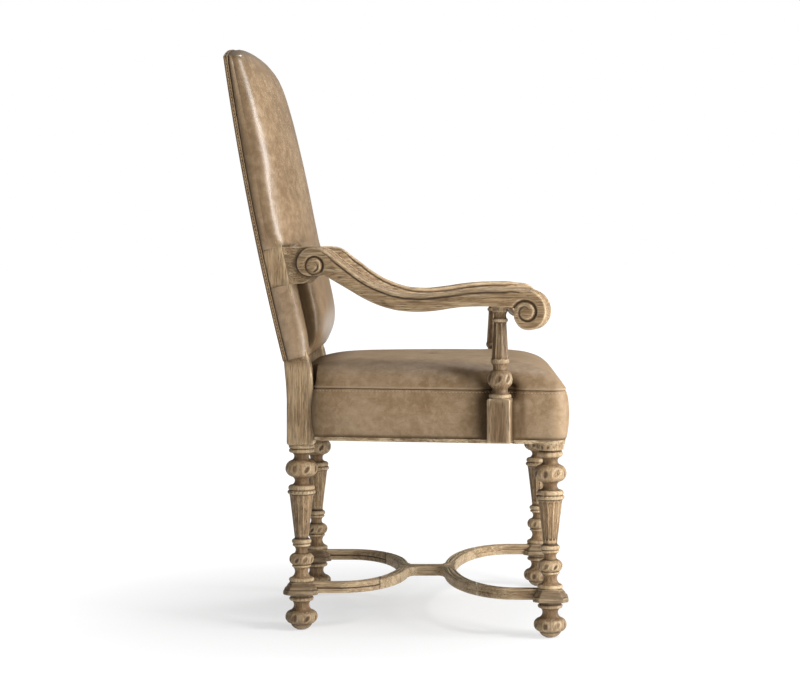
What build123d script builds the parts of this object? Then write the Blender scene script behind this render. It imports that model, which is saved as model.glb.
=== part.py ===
from build123d import *

import os
from math import atan, atan2, cos, degrees, hypot, radians, sin, sqrt, tan

# A high-backed dining armchair: turned and scrolled wood, leather seat and back.
# Millimetres, +Z up, floor at Z = 0. The sitter faces -Y and has +X on the left.
# Pieces of a pair are drawn on the +X side and mirrored.

# Fits
joint_gap = 0.2  # round a tenon, dowel, spigot or screw in its hole
cloth_gap = 0.3  # between upholstery and what it lies on
leather = 2.0

# Plan of the legs
front_leg_x = 292.0
rear_leg_x = 210.0
front_leg_y = -300.0
leg_run = 480.4  # front leg axis to rear leg axis
block_size = 54.0  # square of the blocks that take the rails

# Turnings are lists of (height, radius at the top, swell of the curve between).
glide_radius = 9.5
glide_height = 2.0
glide_nail_radius = 1.5
glide_nail_length = 14.0
foot_sole_radius = 12.0
foot_turning = (
    (10.0, 21.0, 1.5),  # toe
    (25.0, 22.5, 9.6),  # bun
    (19.5, 19.0, -5.7),  # neck
    (7.0, 21.5, 3.6),  # ring
    (6.5, 24.0, -1.0),  # flare under the plinth
)
spigot_radius = 8.0
spigot_in_leg = 20.0

plinth_size = 68.0
plinth_height = 23.0
plinth_cant = 11.0
plinth_top_edge = 4.0
plinth_bottom_edge = 2.0

leg_base_radius = 21.0
leg_turning = (
    (8.0, 21.0, 3.5),  # base ring
    (20.0, 16.5, -5.6),  # cove
    (5.0, 16.5, 2.0),  # ring
    (22.0, 14.0, 8.4),  # lower ball
    (13.5, 14.5, -2.8),  # neck
    (5.5, 15.5, 2.5),  # small ring
    (9.0, 15.0, 3.8),  # ring
    (5.5, 13.8, -1.0),  # cove
    (82.0, 23.7, 0.0),  # tapered column
    (7.5, 23.5, 3.8),  # thin ring
    (10.0, 20.0, 4.0),  # torus
    (16.0, 18.5, -5.9),  # cove
    (32.0, 19.5, 12.3),  # upper ball
    (15.0, 20.0, -5.4),  # neck
)
front_capital = (
    (11.0, 21.5, 3.6),  # ring
    (3.0, 26.0, -0.8),  # fillet
    (12.0, 27.0, 0.7),  # collar under the rail
)
rear_capital = (
    (8.0, 21.5, 4.0),  # ring
    (8.0, 22.0, 3.3),  # ring under the block
)

# Seat frame
rail_height = 75.0
rail_thickness = 28.0
tenon_thickness = 11.0
tenon_length = 22.0
tenon_shoulder = 10.0
corner_block_leg = 70.0
corner_block_height = 45.0
corner_block_drop = 12.0  # below the top of the rails
bolt_radius = 3.5
bolt_head_radius = 7.0
bolt_head_height = 5.0
bolt_in_leg = 22.0

# Arm posts, housed in the side rails
post_setback = 96.0  # behind the front leg axis
post_block = 45.0
post_block_height = 87.0
post_housing = 13.0
post_base_radius = 19.0
post_turning = (
    (8.0, 19.0, 2.6),  # ring
    (12.0, 16.5, -3.2),  # cove
    (33.0, 14.7, 8.4),  # ball
    (13.0, 15.0, -1.6),  # neck
    (10.0, 16.3, 2.0),  # ring
    (68.0, 13.1, 0.0),  # column
    (8.0, 13.0, 3.5),  # ring
    (13.0, 13.5, -2.8),  # cove
    (9.0, 13.5, 1.2),  # cap
)
post_ball_radius = 24.2
post_spigot_radius = 8.0
post_spigot_length = 20.0
screw_radius = 2.2
screw_head_radius = 4.5
screw_head_depth = 4.0
screw_in_post = 22.0
screw_heights = (22.0, 52.0)  # above the bottom of the rail

# Seat upholstery: (height above the rail bottom, inset from the edge of the seat)
seat_front_overhang = 29.0  # leather in front of the front leg axis
seat_rear_overhang = 23.0  # leather behind the rear leg axis
seat_corner_radius = 24.0
slot_gap = 2.0  # round the arm post where the leather is notched for it
moulding_height = 7.2
moulding_thickness = 2.2
border_sections = ((7.5, 0.0), (56.0, -6.0), (104.5, 0.0))
crown_sections = (
    (104.5, 0.0),
    (122.0, 11.0),
    (139.0, 34.0),
    (147.0, 63.0),
    (152.0, 101.0),
    (155.0, 170.0),
)
strap_width = 50.0
strap_thickness = 1.5
strap_end = 6.0  # bare rail outside the end of a strap
long_straps = 4
cross_straps = 5
strap_pitch = 78.0
deck_thickness = 0.8
deck_inset = 10.0
dust_cover_thickness = 0.8
dust_cover_inset = 14.0

# Back: the rear edge of the back leans and straightens along one curve
rake_foot_rise = 151.0  # rail bottom to the lower edge of the back
rake_foot_y = 35.0  # rear edge of the back there, behind the rear leg axis
rake_angle = 14.07
rake_radius = 5430.0
stile_depth = 40.0
stile_behind = 10.5  # rear edge of the back to the wood
stile_height = 567.0  # lower edge of the back to the top of the stile
stile_bend_front = 60.0  # block bottom to the start of the front bend
stile_bend_rear = 80.0
stile_foot_behind = 2.5  # rear edge of the back to the bare wood just below it
stile_round = 92.0  # height of the rounded front at the top of the stile
stile_round_mid = 8.0  # set back of that front halfway up
stile_round_top = 22.0  # and at the top
crest_foot = 24.0  # crest rail below the start of that round
crest_rise = 26.0  # arch of the crest rail over the ends of the stiles
lower_rail_height = 60.0
lower_rail_lift = 14.0
back_rail_thickness = 24.0
back_tenon_length = 20.0
back_strap_count = 4
back_strap_pitch = 84.0

# Back leather: (height, depth at the side, depth at the crown, corner), with heights above its
# lower edge first and then from the top of the stile
back_foot_sections = (
    (3.0, 55.5, 60.0, 6.0),
    (12.0, 57.0, 67.0, 7.0),
    (22.0, 58.0, 74.0, 8.0),
    (39.0, 60.0, 86.0, 10.0),
    (67.0, 61.0, 97.0, 11.0),
    (119.0, 61.0, 105.0, 11.0),
    (219.0, 61.0, 106.0, 11.0),
    (319.0, 60.0, 105.0, 10.0),
)
back_head_sections = (
    (-168.0, 60.0, 102.0, 10.0),
    (-103.0, 59.0, 98.0, 10.0),
    (-62.0, 56.0, 94.0, 11.0),
    (-28.0, 51.0, 89.0, 12.0),
    (9.0, 44.0, 80.0, 10.0),
    (25.0, 39.0, 70.0, 9.0),
    (41.0, 32.0, 55.0, 7.0),
    (55.0, 23.0, 35.0, 5.0),
)
back_arch_rise = 29.0
panel_thickness = 5.5
welt_radius = 2.6
welt_pitch = 4.7  # between the two cords of the double welt

# Arms, drawn in an upright plane through the arm post and the stile.
# Runs are along the arm: forward of the post axis, or forward of the stile.
arm_width = 54.0
arm_edge_round = 6.0
arm_root_gap = 0.3
arm_root_height = 72.0
arm_root_length = 62.0
arm_root_rise = 41.5  # underside of the root above the top of the arm post
arm_bottom_rear = ((76.0, 60.0), (106.0, 43.0), (155.0, 16.0), (206.0, -4.0))
arm_bottom_front = ((-158.0, -11.0), (-101.0, -5.0), (-23.0, -0.6), (36.0, -1.5))
arm_bead_rear = ((68.0, 108.0), (97.0, 94.0), (143.0, 59.0), (194.0, 34.0))
arm_bead_front = ((-151.0, 21.0), (-77.0, 30.0), (-21.0, 33.5), (62.0, 31.0))
front_scroll_run = 61.5
front_scroll_drop = 5.0  # below the top of the arm post
front_scroll_half_length = 33.5
front_scroll_half_height = 37.0
front_eye_run = 54.5
front_eye_drop = 7.0
front_eye_radius = 14.5
rear_scroll_run = 54.0
rear_scroll_rise = 83.0
rear_scroll_radius = 29.0
rear_eye_rise = 79.0
rear_eye_radius = 16.5
eye_proud = 3.0
arm_dowel_radius = 5.0
arm_dowel_length = 44.0
arm_dowel_pitch = 36.0

# Stretcher: two bows back to back on a short neck, each half an ellipse
stretcher_width = 24.0
stretcher_height = 20.5
stretcher_edge = 4.0
neck_length = 95.0  # between the centre lines of the bows
neck_width = 27.0
neck_fillet = 20.0
front_bow_half_width = 283.0
front_bow_depth = 129.0
rear_bow_half_width = 208.0
rear_bow_depth = 118.0
front_bar_length = 105.0  # plinth to the seam with the knot
rear_bar_length = 118.0
bar_tenon_length = 16.0
bar_tenon_width = 12.0
bar_tenon_height = 11.0
seam_dowel_radius = 4.0
seam_dowel_length = 24.0

# Heights and places that follow
pad_gap = leather + cloth_gap
rear_leg_y = front_leg_y + leg_run
half_block = block_size / 2
foot_height = sum(height for height, _, _ in foot_turning)
plinth_z = glide_height + foot_height
leg_z = plinth_z + plinth_height
capital_z = leg_z + sum(height for height, _, _ in leg_turning)
rail_z = capital_z + sum(height for height, _, _ in front_capital)
rear_block_z = capital_z + sum(height for height, _, _ in rear_capital)
rail_top = rail_z + rail_height
deck_z = rail_top + 2 * strap_thickness
pad_z = deck_z + deck_thickness + cloth_gap
post_y = front_leg_y + post_setback
arm_z = rail_z + post_block_height + sum(height for height, _, _ in post_turning)
back_z = rail_z + rake_foot_rise
stile_top = back_z + stile_height
stile_front = stile_behind + stile_depth
half_back = rear_leg_x + half_block + pad_gap
rail_outside = half_block - pad_gap  # from the line through the leg axes
rail_inside = rail_outside - rail_thickness
splay = degrees(atan2(front_leg_x - rear_leg_x, leg_run))
stretcher_z = plinth_z + (plinth_height - stretcher_height) / 2
neck_y = front_leg_y + leg_run / 2
seat_front = front_leg_y - seat_front_overhang
seat_rear = rear_leg_y + seat_rear_overhang
slot_half_width = max(post_block / 2, post_ball_radius) + slot_gap
slot_inside = post_ball_radius + slot_gap


def axis_x(y):
    """Distance from the middle of the chair to the line through the leg axes of one side."""
    return front_leg_x - (front_leg_x - rear_leg_x) * (y - front_leg_y) / leg_run


def beside_axis(y, offset):
    """X of a line beside that line, at the given distance outside it."""
    return axis_x(y) + offset / cos(radians(splay))


def seat_outline(z, inset):
    """Plan of the seat at a height, inset from its edge, with rounded corners."""
    front = seat_front + inset
    rear = seat_rear - inset
    front_x = beside_axis(front, half_block - inset)
    rear_x = beside_axis(rear, half_block - inset)
    with BuildSketch(Plane.XY.offset(z)) as outline:
        Polygon((-front_x, front), (front_x, front), (rear_x, rear), (-rear_x, rear), align=None)
        fillet(outline.vertices(), seat_corner_radius + max(inset, 0) / 4)
    return outline.sketch


def rake(z):
    """Y of the rear edge of the back at a height."""
    rise = z - back_z
    return rear_leg_y + rake_foot_y + rise * tan(radians(rake_angle)) - rise**2 / (2 * rake_radius)


def rake_plane(z, depth):
    """Plane that lies along the back at a height, facing the sitter."""
    slope = atan(tan(radians(rake_angle)) - (z - back_z) / rake_radius)
    return Plane(
        origin=(0, rake(z) - depth, z), x_dir=(1, 0, 0), z_dir=(0, -cos(slope), sin(slope))
    )


def side_plane(x):
    """Upright plane across the chair, drawn as (Y, Z)."""
    return Plane(origin=(x, 0, 0), x_dir=(0, 1, 0), z_dir=(1, 0, 0))


def post_plane(z):
    """Plane at the arm post, level, with its X square to the side rail and outwards."""
    turn = radians(splay)
    x = beside_axis(post_y, rail_outside - post_housing + post_block / 2)
    return Plane(origin=(x, post_y, z), x_dir=(cos(turn), sin(turn), 0), z_dir=(0, 0, 1))


post_x = post_plane(0).origin.X
arm_root_z = arm_z + arm_root_rise + arm_root_height / 2
arm_root_y = rake(arm_root_z) - stile_front
arm_turn = atan2(post_x - rear_leg_x, arm_root_y - post_y)
arm_run = hypot(post_x - rear_leg_x, arm_root_y - post_y)
arm_plane = Plane(
    origin=(post_x, post_y, arm_z),
    x_dir=(sin(arm_turn), -cos(arm_turn), 0),
    z_dir=(-cos(arm_turn), -sin(arm_turn), 0),
)


def keep(piece, name):
    """Names a finished piece and writes it."""
    piece.label = name
    export_step(piece, f"parts/{name}.step")


def keep_pair(piece, name):
    """Writes a piece of the sitter's left side and its mirror image."""
    with BuildPart() as other:
        mirror(piece, about=Plane.YZ)
    keep(piece, f"{name}_left")
    keep(other.part, f"{name}_right")


def both_sides(piece):
    """A group of two: a solid and its mirror image."""
    with BuildPart() as pair:
        add(piece)
        mirror(piece, about=Plane.YZ)
    return pair.part


def turn_profile(first_radius, sections):
    """Half outline of a turning, from its axis out, up and back."""
    radius = first_radius
    level = 0.0
    Line((0, level), (radius, level))
    for height, end_radius, swell in sections:
        if swell:
            SagittaArc((radius, level), (end_radius, level + height), -swell)
        else:
            Line((radius, level), (end_radius, level + height))
        radius = end_radius
        level += height
    Line((radius, level), (0, level))
    Line((0, level), (0, 0))


def turned(x, y, z, first_radius, sections):
    """Adds a turning on an upright axis to the piece being made."""
    with BuildSketch(Plane(origin=(x, y, z), x_dir=(1, 0, 0), z_dir=(0, -1, 0))) as half:
        with BuildLine():
            turn_profile(first_radius, sections)
        make_face()
    revolve(half.sketch, axis=Axis((x, y, z), (0, 0, 1)))


def upright_bore(x, y, z, radius, depth):
    """Cuts a round hole upwards from a height."""
    with Locations((x, y, z)):
        Cylinder(radius, depth, align=(Align.CENTER, Align.CENTER, Align.MIN), mode=Mode.SUBTRACT)


def rod(plane, radius, length, mode=Mode.ADD):
    """A round bar or its hole, along the normal of a plane."""
    with Locations(plane):
        Cylinder(radius, length, align=(Align.CENTER, Align.CENTER, Align.MIN), mode=mode)


def screw(plane, length, gap=0.0, mode=Mode.ADD):
    """A countersunk screw, or its hole with a gap, from a face along its normal."""
    with BuildSketch(Plane(plane.origin, x_dir=plane.x_dir, z_dir=-plane.y_dir)) as half:
        with BuildLine():
            Polyline(
                (0, 0),
                (screw_head_radius + gap, 0),
                (screw_radius + gap, screw_head_depth + gap),
                (screw_radius + gap, length + gap),
                (0, length + gap),
                close=True,
            )
        make_face()
    revolve(half.sketch, axis=Axis(plane.origin, plane.z_dir), mode=mode)


def side_tenons(gap):
    """Plan outlines of the tenons at both ends of the side rail, with a gap round them."""
    middle = rail_outside - rail_thickness / 2
    half = tenon_thickness / 2 + gap
    ends = (
        (front_leg_y + half_block, -tenon_length - gap),
        (rear_leg_y - half_block, tenon_length + gap),
    )
    for shoulder, reach in ends:
        yield [
            (beside_axis(shoulder, middle - half), shoulder),
            (beside_axis(shoulder, middle + half), shoulder),
            (beside_axis(shoulder + reach, middle + half), shoulder + reach),
            (beside_axis(shoulder + reach, middle - half), shoulder + reach),
        ]


def side_tenon(outline, gap, mode=Mode.ADD):
    """One tenon of the side rail, or its mortise."""
    with BuildSketch(Plane.XY.offset(rail_z + tenon_shoulder - gap)) as plan:
        Polygon(*outline, align=None)
    extrude(plan.sketch, amount=rail_height - 2 * tenon_shoulder + 2 * gap, mode=mode)


def cross_tenon(x, y, gap, mode=Mode.ADD):
    """One tenon of a cross rail, from its shoulder outwards on the +X side, or its mortise."""
    with Locations((x, y, rail_z + rail_height / 2)):
        Box(
            tenon_length + gap,
            tenon_thickness + 2 * gap,
            rail_height - 2 * tenon_shoulder + 2 * gap,
            align=(Align.MIN, Align.CENTER, Align.CENTER),
            mode=mode,
        )


front_rail_y = front_leg_y - rail_outside + rail_thickness / 2
rear_rail_y = rear_leg_y + seat_rear_overhang - leather - cloth_gap - rail_thickness / 2
front_shoulder = front_leg_x - half_block
rear_shoulder = rear_leg_x - half_block
front_mortise, rear_mortise = side_tenons(joint_gap)


def bolt_seat(corner, face_ends):
    """Where the corner bolt meets the sloping face of a corner block, and which way it runs."""
    (ax, ay), (bx, by) = face_ends
    across = Vector(by - ay, ax - bx).normalized()
    reach = (Vector(*corner) - Vector(ax, ay)).dot(across)
    if reach < 0:
        across = -across
        reach = -reach
    seat = Vector(*corner) - across * reach
    middle_z = rail_top - corner_block_drop - corner_block_height / 2
    return Plane(
        origin=(seat.X, seat.Y, middle_z), x_dir=(0, 0, 1), z_dir=(across.X, across.Y, 0)
    ), reach


def corner_outline(leg_y, corner_x, rail_face, towards):
    """Plan of a notched corner block between a cross rail and the side rail, round a leg block."""
    corner_y = leg_y + towards * half_block
    face_y = rail_face + towards * joint_gap
    near_y = corner_y + towards * joint_gap
    far_y = corner_y + towards * corner_block_leg
    return [
        (corner_x - corner_block_leg, face_y),
        (corner_x - joint_gap, face_y),
        (corner_x - joint_gap, near_y),
        (beside_axis(near_y, rail_inside - joint_gap), near_y),
        (beside_axis(far_y, rail_inside - joint_gap), far_y),
    ]


front_corner = corner_outline(
    front_leg_y, front_shoulder, front_rail_y + rail_thickness / 2, 1
)
rear_corner = corner_outline(rear_leg_y, rear_shoulder, rear_rail_y - rail_thickness / 2, -1)
front_bolt, front_bolt_reach = bolt_seat(
    (front_shoulder, front_leg_y + half_block), (front_corner[0], front_corner[-1])
)
rear_bolt, rear_bolt_reach = bolt_seat(
    (rear_shoulder, rear_leg_y - half_block), (rear_corner[0], rear_corner[-1])
)


def post_screws():
    """Planes on the inner face of the side rail where the arm post screws start."""
    inward = post_block / 2 + rail_thickness - post_housing
    turn = radians(splay)
    for height in screw_heights:
        level = post_plane(rail_z + height)
        yield Plane(
            origin=level.origin - level.x_dir * inward,
            x_dir=(0, 0, 1),
            z_dir=(cos(turn), sin(turn), 0),
        )


post_screw_length = rail_thickness - post_housing + screw_in_post


def arm_dowel_planes():
    """Planes across the joint of the arm and the stile, one for each dowel."""
    for shift in (-arm_dowel_pitch / 2, arm_dowel_pitch / 2):
        face = rake_plane(arm_root_z, stile_front)
        origin = face.origin + face.y_dir * shift + Vector(rear_leg_x, 0, 0)
        yield Plane(
            origin=origin - face.z_dir * arm_dowel_length / 2,
            x_dir=(1, 0, 0),
            z_dir=face.z_dir,
        )


def back_rail_box(z, height, reach, gap=0.0, mode=Mode.ADD, depth=0.0):
    """A bar across the back, flush with the front of the stiles, reaching to an X each way."""
    with Locations(rake_plane(z, stile_front)):
        with Locations((0, 0, -back_rail_thickness / 2)):
            Box(2 * reach + 2 * gap, height + 2 * gap, back_rail_thickness - depth + 2 * gap, mode=mode)


def back_edge(depth, z):
    """A point (Y, Z) at a depth in front of the rear edge of the back."""
    return rake(z) - depth, z


def frame_profile(front, behind, bottom):
    """Side outline of the back's frame from a height up, with the front rounded at the top."""
    top = stile_top + crest_rise + cloth_gap
    round_z = stile_top - stile_round
    middle_z = round_z + stile_round / 2
    front_foot = back_edge(front, bottom)
    front_round = back_edge(front, round_z)
    front_top = back_edge(front - stile_round_top, top)
    rear_foot = back_edge(behind, bottom)
    rear_top = back_edge(behind, top)
    ThreePointArc(front_foot, back_edge(front, (bottom + round_z) / 2), front_round)
    ThreePointArc(front_round, back_edge(front - stile_round_mid, middle_z), front_top)
    Line(front_top, rear_top)
    ThreePointArc(rear_top, back_edge(behind, (bottom + top) / 2), rear_foot)
    return front_foot, rear_foot


lower_rail_z = back_z + lower_rail_lift + lower_rail_height / 2
crest_height = stile_round + crest_foot
crest_z = stile_top - crest_height
back_tenon_depth = back_rail_thickness - tenon_thickness
crest_tenon_height = crest_foot - tenon_shoulder + stile_round / 3
crest_tenon_z = crest_z + tenon_shoulder + crest_tenon_height / 2

os.makedirs("parts", exist_ok=True)

# Feet, with nail-on glides
for leg_y, leg_x, end in ((front_leg_y, front_leg_x, "front"), (rear_leg_y, rear_leg_x, "rear")):
    with BuildPart() as foot:
        turned(leg_x, leg_y, glide_height, foot_sole_radius, foot_turning)
        with Locations((leg_x, leg_y, plinth_z)):
            Cylinder(
                spigot_radius,
                plinth_height + spigot_in_leg,
                align=(Align.CENTER, Align.CENTER, Align.MIN),
            )
        upright_bore(
            leg_x, leg_y, glide_height, glide_nail_radius + joint_gap, glide_nail_length + joint_gap
        )
    keep_pair(foot.part, f"foot_{end}")

with BuildPart() as glides:
    for leg_y, leg_x in ((front_leg_y, front_leg_x), (rear_leg_y, rear_leg_x)):
        for side in (-1, 1):
            with Locations((side * leg_x, leg_y, 0)):
                Cylinder(
                    glide_radius, glide_height, align=(Align.CENTER, Align.CENTER, Align.MIN)
                )
                Cylinder(
                    glide_nail_radius,
                    glide_height + glide_nail_length,
                    align=(Align.CENTER, Align.CENTER, Align.MIN),
                )
keep(glides.part, "foot_glides")

# Plinths between the feet and the legs
bar_tenon_z = stretcher_z + stretcher_height / 2
front_bar_face = front_leg_y + plinth_size / 2
rear_bar_face = rear_leg_y - plinth_size / 2
plinths = (
    ("front", front_leg_x, front_leg_y, front_bow_half_width, front_bar_face, -1),
    ("rear", rear_leg_x, rear_leg_y, rear_bow_half_width, rear_bar_face, 1),
)
for end, leg_x, leg_y, bar_x, bar_face, into in plinths:
    with BuildPart() as plinth:
        with BuildSketch(Plane.XY.offset(plinth_z)):
            with Locations((leg_x, leg_y)):
                Rectangle(plinth_size, plinth_size)
        extrude(amount=plinth_height)
        chamfer(plinth.edges().filter_by(Axis.Z), plinth_cant)
        fillet(plinth.edges().group_by(Axis.Z)[-1], plinth_top_edge)
        chamfer(plinth.edges().group_by(Axis.Z)[0], plinth_bottom_edge)
        upright_bore(leg_x, leg_y, plinth_z, spigot_radius + joint_gap, plinth_height)
        with Locations((bar_x, bar_face + into * bar_tenon_length / 2, bar_tenon_z)):
            Box(
                bar_tenon_width + 2 * joint_gap,
                bar_tenon_length + 2 * joint_gap,
                bar_tenon_height + 2 * joint_gap,
                mode=Mode.SUBTRACT,
            )
    keep_pair(plinth.part, f"plinth_{end}")

# Front legs, with the square block that takes the rails
with BuildPart() as front_leg:
    turned(front_leg_x, front_leg_y, leg_z, leg_base_radius, leg_turning + front_capital)
    with BuildSketch(Plane.XY.offset(rail_z)):
        with Locations((front_leg_x, front_leg_y)):
            Rectangle(block_size, block_size)
        add(seat_outline(0.0, pad_gap), mode=Mode.INTERSECT)
    extrude(amount=rail_height)
    upright_bore(
        front_leg_x, front_leg_y, leg_z, spigot_radius + joint_gap, spigot_in_leg + joint_gap
    )
    side_tenon(front_mortise, joint_gap, Mode.SUBTRACT)
    cross_tenon(front_shoulder, front_rail_y, joint_gap, Mode.SUBTRACT)
    rod(
        front_bolt,
        bolt_radius + joint_gap,
        front_bolt_reach + bolt_in_leg + joint_gap,
        Mode.SUBTRACT,
    )
keep_pair(front_leg.part, "front_leg")

# Rear posts: turned leg, square block and raked stile in one length of wood
bend_front = (rear_leg_y - half_block, rear_block_z + stile_bend_front)
bend_rear = (rear_leg_y + half_block, rear_block_z + stile_bend_rear)
rebate_z = back_z - cloth_gap
bare_rear = (rake(back_z) - stile_foot_behind, rebate_z)
with BuildPart() as rear_post:
    turned(rear_leg_x, rear_leg_y, leg_z, leg_base_radius, leg_turning + rear_capital)
    with BuildSketch(side_plane(rear_leg_x)):
        with BuildLine():
            front_end, rear_end = frame_profile(stile_front, stile_behind, rebate_z)
            TangentArc(bend_front, front_end, tangent=(0, 1))
            TangentArc(bend_rear, bare_rear, tangent=(0, 1))
            Line(bare_rear, rear_end)
            Polyline(
                bend_front,
                (bend_front[0], rear_block_z),
                (bend_rear[0], rear_block_z),
                bend_rear,
            )
        make_face()
    extrude(amount=half_block, both=True)
    split(bisect_by=Plane.XY.offset(stile_top), keep=Keep.BOTTOM)
    upright_bore(
        rear_leg_x, rear_leg_y, leg_z, spigot_radius + joint_gap, spigot_in_leg + joint_gap
    )
    side_tenon(rear_mortise, joint_gap, Mode.SUBTRACT)
    cross_tenon(rear_shoulder, rear_rail_y, joint_gap, Mode.SUBTRACT)
    rod(
        rear_bolt,
        bolt_radius + joint_gap,
        rear_bolt_reach + bolt_in_leg + joint_gap,
        Mode.SUBTRACT,
    )
    reach = rear_shoulder + back_tenon_length
    back_rail_box(
        lower_rail_z,
        lower_rail_height - 2 * tenon_shoulder,
        reach,
        joint_gap,
        Mode.SUBTRACT,
        back_tenon_depth,
    )
    back_rail_box(
        crest_tenon_z, crest_tenon_height, reach, joint_gap, Mode.SUBTRACT, back_tenon_depth
    )
    for plane in arm_dowel_planes():
        rod(
            plane.offset(-joint_gap),
            arm_dowel_radius + joint_gap,
            arm_dowel_length + 2 * joint_gap,
            Mode.SUBTRACT,
        )
keep_pair(rear_post.part, "rear_post")

# Seat rails
with BuildPart() as side_rail:
    with BuildSketch(Plane.XY.offset(rail_z)):
        front_end = front_leg_y + half_block
        rear_end = rear_leg_y - half_block
        Polygon(
            (beside_axis(front_end, rail_inside), front_end),
            (beside_axis(front_end, rail_outside), front_end),
            (beside_axis(rear_end, rail_outside), rear_end),
            (beside_axis(rear_end, rail_inside), rear_end),
            align=None,
        )
    extrude(amount=rail_height)
    for outline in side_tenons(0.0):
        side_tenon(outline, 0.0)
    with Locations(post_plane(rail_z)):
        with Locations((-post_block / 2, 0, 0)):
            Box(
                2 * post_block,
                post_block + 2 * joint_gap,
                rail_height,
                align=(Align.MIN, Align.CENTER, Align.MIN),
                mode=Mode.SUBTRACT,
            )
    for plane in post_screws():
        screw(plane, post_screw_length, joint_gap, Mode.SUBTRACT)
keep_pair(side_rail.part, "seat_rail")

for end, shoulder, rail_y in (
    ("front", front_shoulder, front_rail_y),
    ("rear", rear_shoulder, rear_rail_y),
):
    with BuildPart() as cross_rail:
        with Locations((0, rail_y, rail_z)):
            Box(
                2 * shoulder,
                rail_thickness,
                rail_height,
                align=(Align.CENTER, Align.CENTER, Align.MIN),
            )
        cross_tenon(shoulder, rail_y, 0.0)
        mirror(about=Plane.YZ)
    keep(cross_rail.part, f"seat_rail_{end}")

# Corner blocks and the bolts that draw the legs into the corners
corner_block_z = rail_top - corner_block_drop - corner_block_height
with BuildPart() as corner_blocks:
    for outline, plane, bolt_reach in (
        (front_corner, front_bolt, front_bolt_reach),
        (rear_corner, rear_bolt, rear_bolt_reach),
    ):
        with BuildSketch(Plane.XY.offset(corner_block_z)):
            Polygon(*outline, align=None)
        extrude(amount=corner_block_height)
        rod(plane, bolt_radius + joint_gap, bolt_reach + bolt_in_leg, Mode.SUBTRACT)
keep(both_sides(corner_blocks.part), "corner_blocks")

with BuildPart() as corner_bolts:
    for plane, bolt_reach in ((front_bolt, front_bolt_reach), (rear_bolt, rear_bolt_reach)):
        rod(plane, bolt_radius, bolt_reach + bolt_in_leg)
        with BuildSketch(plane):
            RegularPolygon(bolt_head_radius, 6)
        extrude(amount=-bolt_head_height)
keep(both_sides(corner_bolts.part), "corner_bolts")

# Arm posts
with BuildPart() as arm_post:
    with Locations(post_plane(rail_z)):
        Box(
            post_block,
            post_block,
            post_block_height,
            align=(Align.CENTER, Align.CENTER, Align.MIN),
        )
    turned(post_x, post_y, rail_z + post_block_height, post_base_radius, post_turning)
    with Locations((post_x, post_y, arm_z)):
        Cylinder(
            post_spigot_radius,
            post_spigot_length,
            align=(Align.CENTER, Align.CENTER, Align.MIN),
        )
    for plane in post_screws():
        screw(plane, post_screw_length, joint_gap, Mode.SUBTRACT)
keep_pair(arm_post.part, "arm_post")

with BuildPart() as post_screw_group:
    for plane in post_screws():
        screw(plane, post_screw_length)
keep(both_sides(post_screw_group.part), "arm_post_screws")


# Arms: a body with rounded upper edges, and a scroll at each end
def from_stile(points):
    """Points given forward of the stile, as runs from the post axis."""
    return [(run - arm_run, rise) for run, rise in points]


arm_bottom = from_stile(arm_bottom_rear) + list(arm_bottom_front)
arm_bead = from_stile(arm_bead_rear) + list(arm_bead_front)
rear_scroll = (rear_scroll_run - arm_run, rear_scroll_rise)
rear_eye = (rear_scroll_run - arm_run, rear_eye_rise)
front_scroll = (front_scroll_run, -front_scroll_drop)
front_eye = (front_eye_run, -front_eye_drop)


with BuildPart() as arm_body:
    with BuildSketch(arm_plane):
        with BuildLine():
            Spline(*arm_bottom)
            Spline(*arm_bead)
            Line(arm_bottom[0], arm_bead[0])
            Line(arm_bottom[-1], arm_bead[-1])
        make_face()
    extrude(amount=arm_width / 2, both=True)
    arm_curves = arm_body.faces().filter_by(GeomType.PLANE, reverse=True)
    arm_upper = arm_curves.sort_by(Axis.Z)[-1]
    fillet([edge for edge in arm_upper.edges() if edge.geom_type != GeomType.LINE], arm_edge_round)

with BuildPart() as arm:
    add(arm_body.part)
    with BuildSketch(arm_plane):
        with Locations(front_scroll):
            Ellipse(front_scroll_half_length, front_scroll_half_height)
        with Locations(rear_scroll):
            Circle(rear_scroll_radius)
        with Locations((-arm_run - arm_root_length / 2, arm_root_rise)):
            Rectangle(2 * arm_root_length, arm_root_height, align=(Align.CENTER, Align.MIN))
    extrude(amount=arm_width / 2, both=True)
    with BuildSketch(arm_plane):
        with Locations(front_eye):
            Circle(front_eye_radius)
        with Locations(rear_eye):
            Circle(rear_eye_radius)
    extrude(amount=arm_width / 2 + eye_proud, both=True)
    split(bisect_by=rake_plane(arm_root_z, stile_front + arm_root_gap), keep=Keep.TOP)
    post_cap = max(radius for _, radius, _ in post_turning) + joint_gap
    upright_bore(post_x, post_y, arm_z - post_spigot_length, post_cap, post_spigot_length)
    upright_bore(
        post_x, post_y, arm_z, post_spigot_radius + joint_gap, post_spigot_length + joint_gap
    )
    for plane in arm_dowel_planes():
        rod(
            plane.offset(-joint_gap),
            arm_dowel_radius + joint_gap,
            arm_dowel_length + 2 * joint_gap,
            Mode.SUBTRACT,
        )
keep_pair(arm.part, "arm")

with BuildPart() as arm_dowels:
    for plane in arm_dowel_planes():
        rod(plane, arm_dowel_radius, arm_dowel_length)
keep(both_sides(arm_dowels.part), "arm_dowels")

# Stretcher, drawn whole and sawn at its seams
front_bow_y = neck_y - neck_length / 2 - front_bow_depth
rear_bow_y = neck_y + neck_length / 2 + rear_bow_depth
front_seam = front_bar_face + front_bar_length
rear_seam = rear_bar_face - rear_bar_length
half_width = stretcher_width / 2


def bow_x(half_span, depth, reach):
    """Distance of a bow's centre line from the middle, at a reach from its centre."""
    return half_span * sqrt(1 - (reach / depth) ** 2)


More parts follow.
